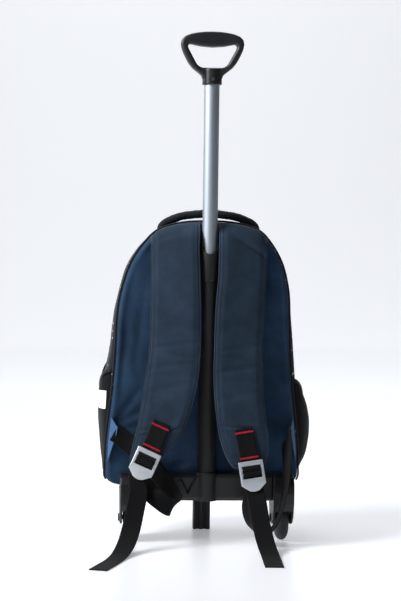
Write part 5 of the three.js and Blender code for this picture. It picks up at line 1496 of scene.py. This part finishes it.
# %% Turn the tyres
WHEEL_X, WHEEL_Y, WHEEL_R, TYRE_SIDES = 126, -105, 37, 96
for name, side in (("left", -1), ("right", 1)):
    profile = [(24.0, -10.2)]
    profile += [(25.0 + 12.0 * math.sin(a), -10.2 * math.cos(a)) for a in np.linspace(0.1, 1.5, 14)]
    profile += [(36.75, -0.3)]
    profile += [(r, -x) for r, x in profile[::-1]]
    angles = np.linspace(0, 2 * np.pi, TYRE_SIDES, endpoint=False)
    points = [(side * WHEEL_X + x, WHEEL_Y + r * math.cos(a), WHEEL_R + r * math.sin(a))
              for r, x in profile for a in angles]
    join(face_outward(piece(f"cast_tyre_{name}", points, ring_faces(len(profile), TYRE_SIDES),
                            sharp=50)), tyre_rubber, [f"wheel_tyre_{name}"],
         body=f"wheel_{name}")

# %% [markdown]
# ## Floor, light and camera
# The floor is a pale, slightly glossy sheet that curves up into a wall far behind the bag, so
# that it has no edge. Both give off a little light of their own, because a real studio has far
# more lamps on its wall than are worth the render time here.

# %% Roll out the floor
floor_material = new_material("pale_studio_floor")
connect(floor_material, shader_of(floor_material), {
    "Base Color": srgb("e8eaee"), "Roughness": 0.3, "IOR": 1.45,
    "Emission Color": srgb("f1f3f7"), "Emission Strength": 0.33})
wall_material = new_material("lit_studio_wall")
connect(wall_material, shader_of(wall_material), {
    "Base Color": srgb("e8eaee"), "Roughness": 0.9,
    "Emission Color": srgb("f2f4f7"), "Emission Strength": 0.4})
arc = [(-6000.0, 0.0), (2500.0, 0.0)]
arc += [(2500 + 1800 * math.sin(a), 1800 * (1 - math.cos(a))) for a in np.linspace(0.1, math.pi / 2, 16)]
arc += [(4300.0, 6000.0)]
floor_points = [(x, y, z - 0.02) for y, z in arc for x in (-6000.0, 6000.0)]
floor = piece("studio_floor", floor_points, grid_faces(len(arc), 2))
floor.data.materials.append(floor_material)
floor.data.materials.append(wall_material)
floor.data.polygons.foreach_set("material_index", [0] * 4 + [1] * (len(arc) - 5))
print("floor and wall:", len(arc), "rows")

# %% [markdown]
# A soft box at the left is the key light, and it leaves the right side of the bag darker. A
# weaker one near the camera opens its shadow, one overhead and behind draws the top edges, and
# one lights the wall. Large boxes give the soft shadows of a studio, and the room is dim.

# %% Hang the lights
world = bpy.data.worlds.new("dim_room")
bpy.context.scene.world = world
world.use_nodes = True
world.node_tree.nodes["Background"].inputs["Color"].default_value = srgb("e4e9f2")
world.node_tree.nodes["Background"].inputs["Strength"].default_value = 0.04


def soft_light(name, place, target, size, power, spread=180):
    """A square soft box that looks from one place at another; a grid narrows its spread."""
    data = bpy.data.lights.new(name, "AREA")
    data.shape, data.size, data.energy, data.spread = "SQUARE", size, power, math.radians(spread)
    light = bpy.data.objects.new(name, data)
    light.location = place
    light.rotation_euler = (Vector(target) - Vector(place)).to_track_quat("-Z", "Y").to_euler()
    bpy.context.scene.collection.objects.link(light)
    print(name, "light:", size, "m wide,", power, "W")


soft_light("key", (-1.6, -0.72, 1.5), (0, -0.12, 0.66), 0.9, 15, spread=80)
soft_light("front", (-1.2, -2.2, 2.3), (0, -0.12, 0.3), 1.2, 4.5)
soft_light("overhead", (-0.3, 0.6, 2.4), (0, 0, 0.2), 1.8, 22)
soft_light("backdrop", (0, 2.2, 3.2), (0, 4.2, 1.2), 3.0, 50)

# %% [markdown]
# The camera's place, turn and lens were worked out from the photograph. It stands 3 m away with
# a long lens, and it is rolled by 0.8 degrees. The standard view transform keeps the pale floor
# as light as it is in a product photograph.

# %% Set up the camera
yaw, pitch, roll = math.radians(3.85), math.radians(2.913), math.radians(0.76)
forward = Vector((math.sin(yaw) * math.cos(pitch), math.cos(yaw) * math.cos(pitch),
                  -math.sin(pitch)))
right = forward.cross(Vector((0, 0, 1))).normalized()
up = right.cross(forward)
right, up = math.cos(roll) * right + math.sin(roll) * up, math.cos(roll) * up - math.sin(roll) * right
camera_data = bpy.data.cameras.new("camera")
camera_data.lens, camera_data.sensor_width = 108.9, 36.0
camera = bpy.data.objects.new("camera", camera_data)
turn = Matrix((right, up, -forward)).transposed().to_4x4()
turn.translation = Vector((-0.2145, -3.0973, 0.550))
camera.matrix_world = turn
bpy.context.scene.collection.objects.link(camera)
bpy.context.scene.camera = camera
bpy.context.scene.view_settings.view_transform = "Standard"
print("camera at", [round(v, 2) for v in camera.location], "m, lens", camera_data.lens, "mm")
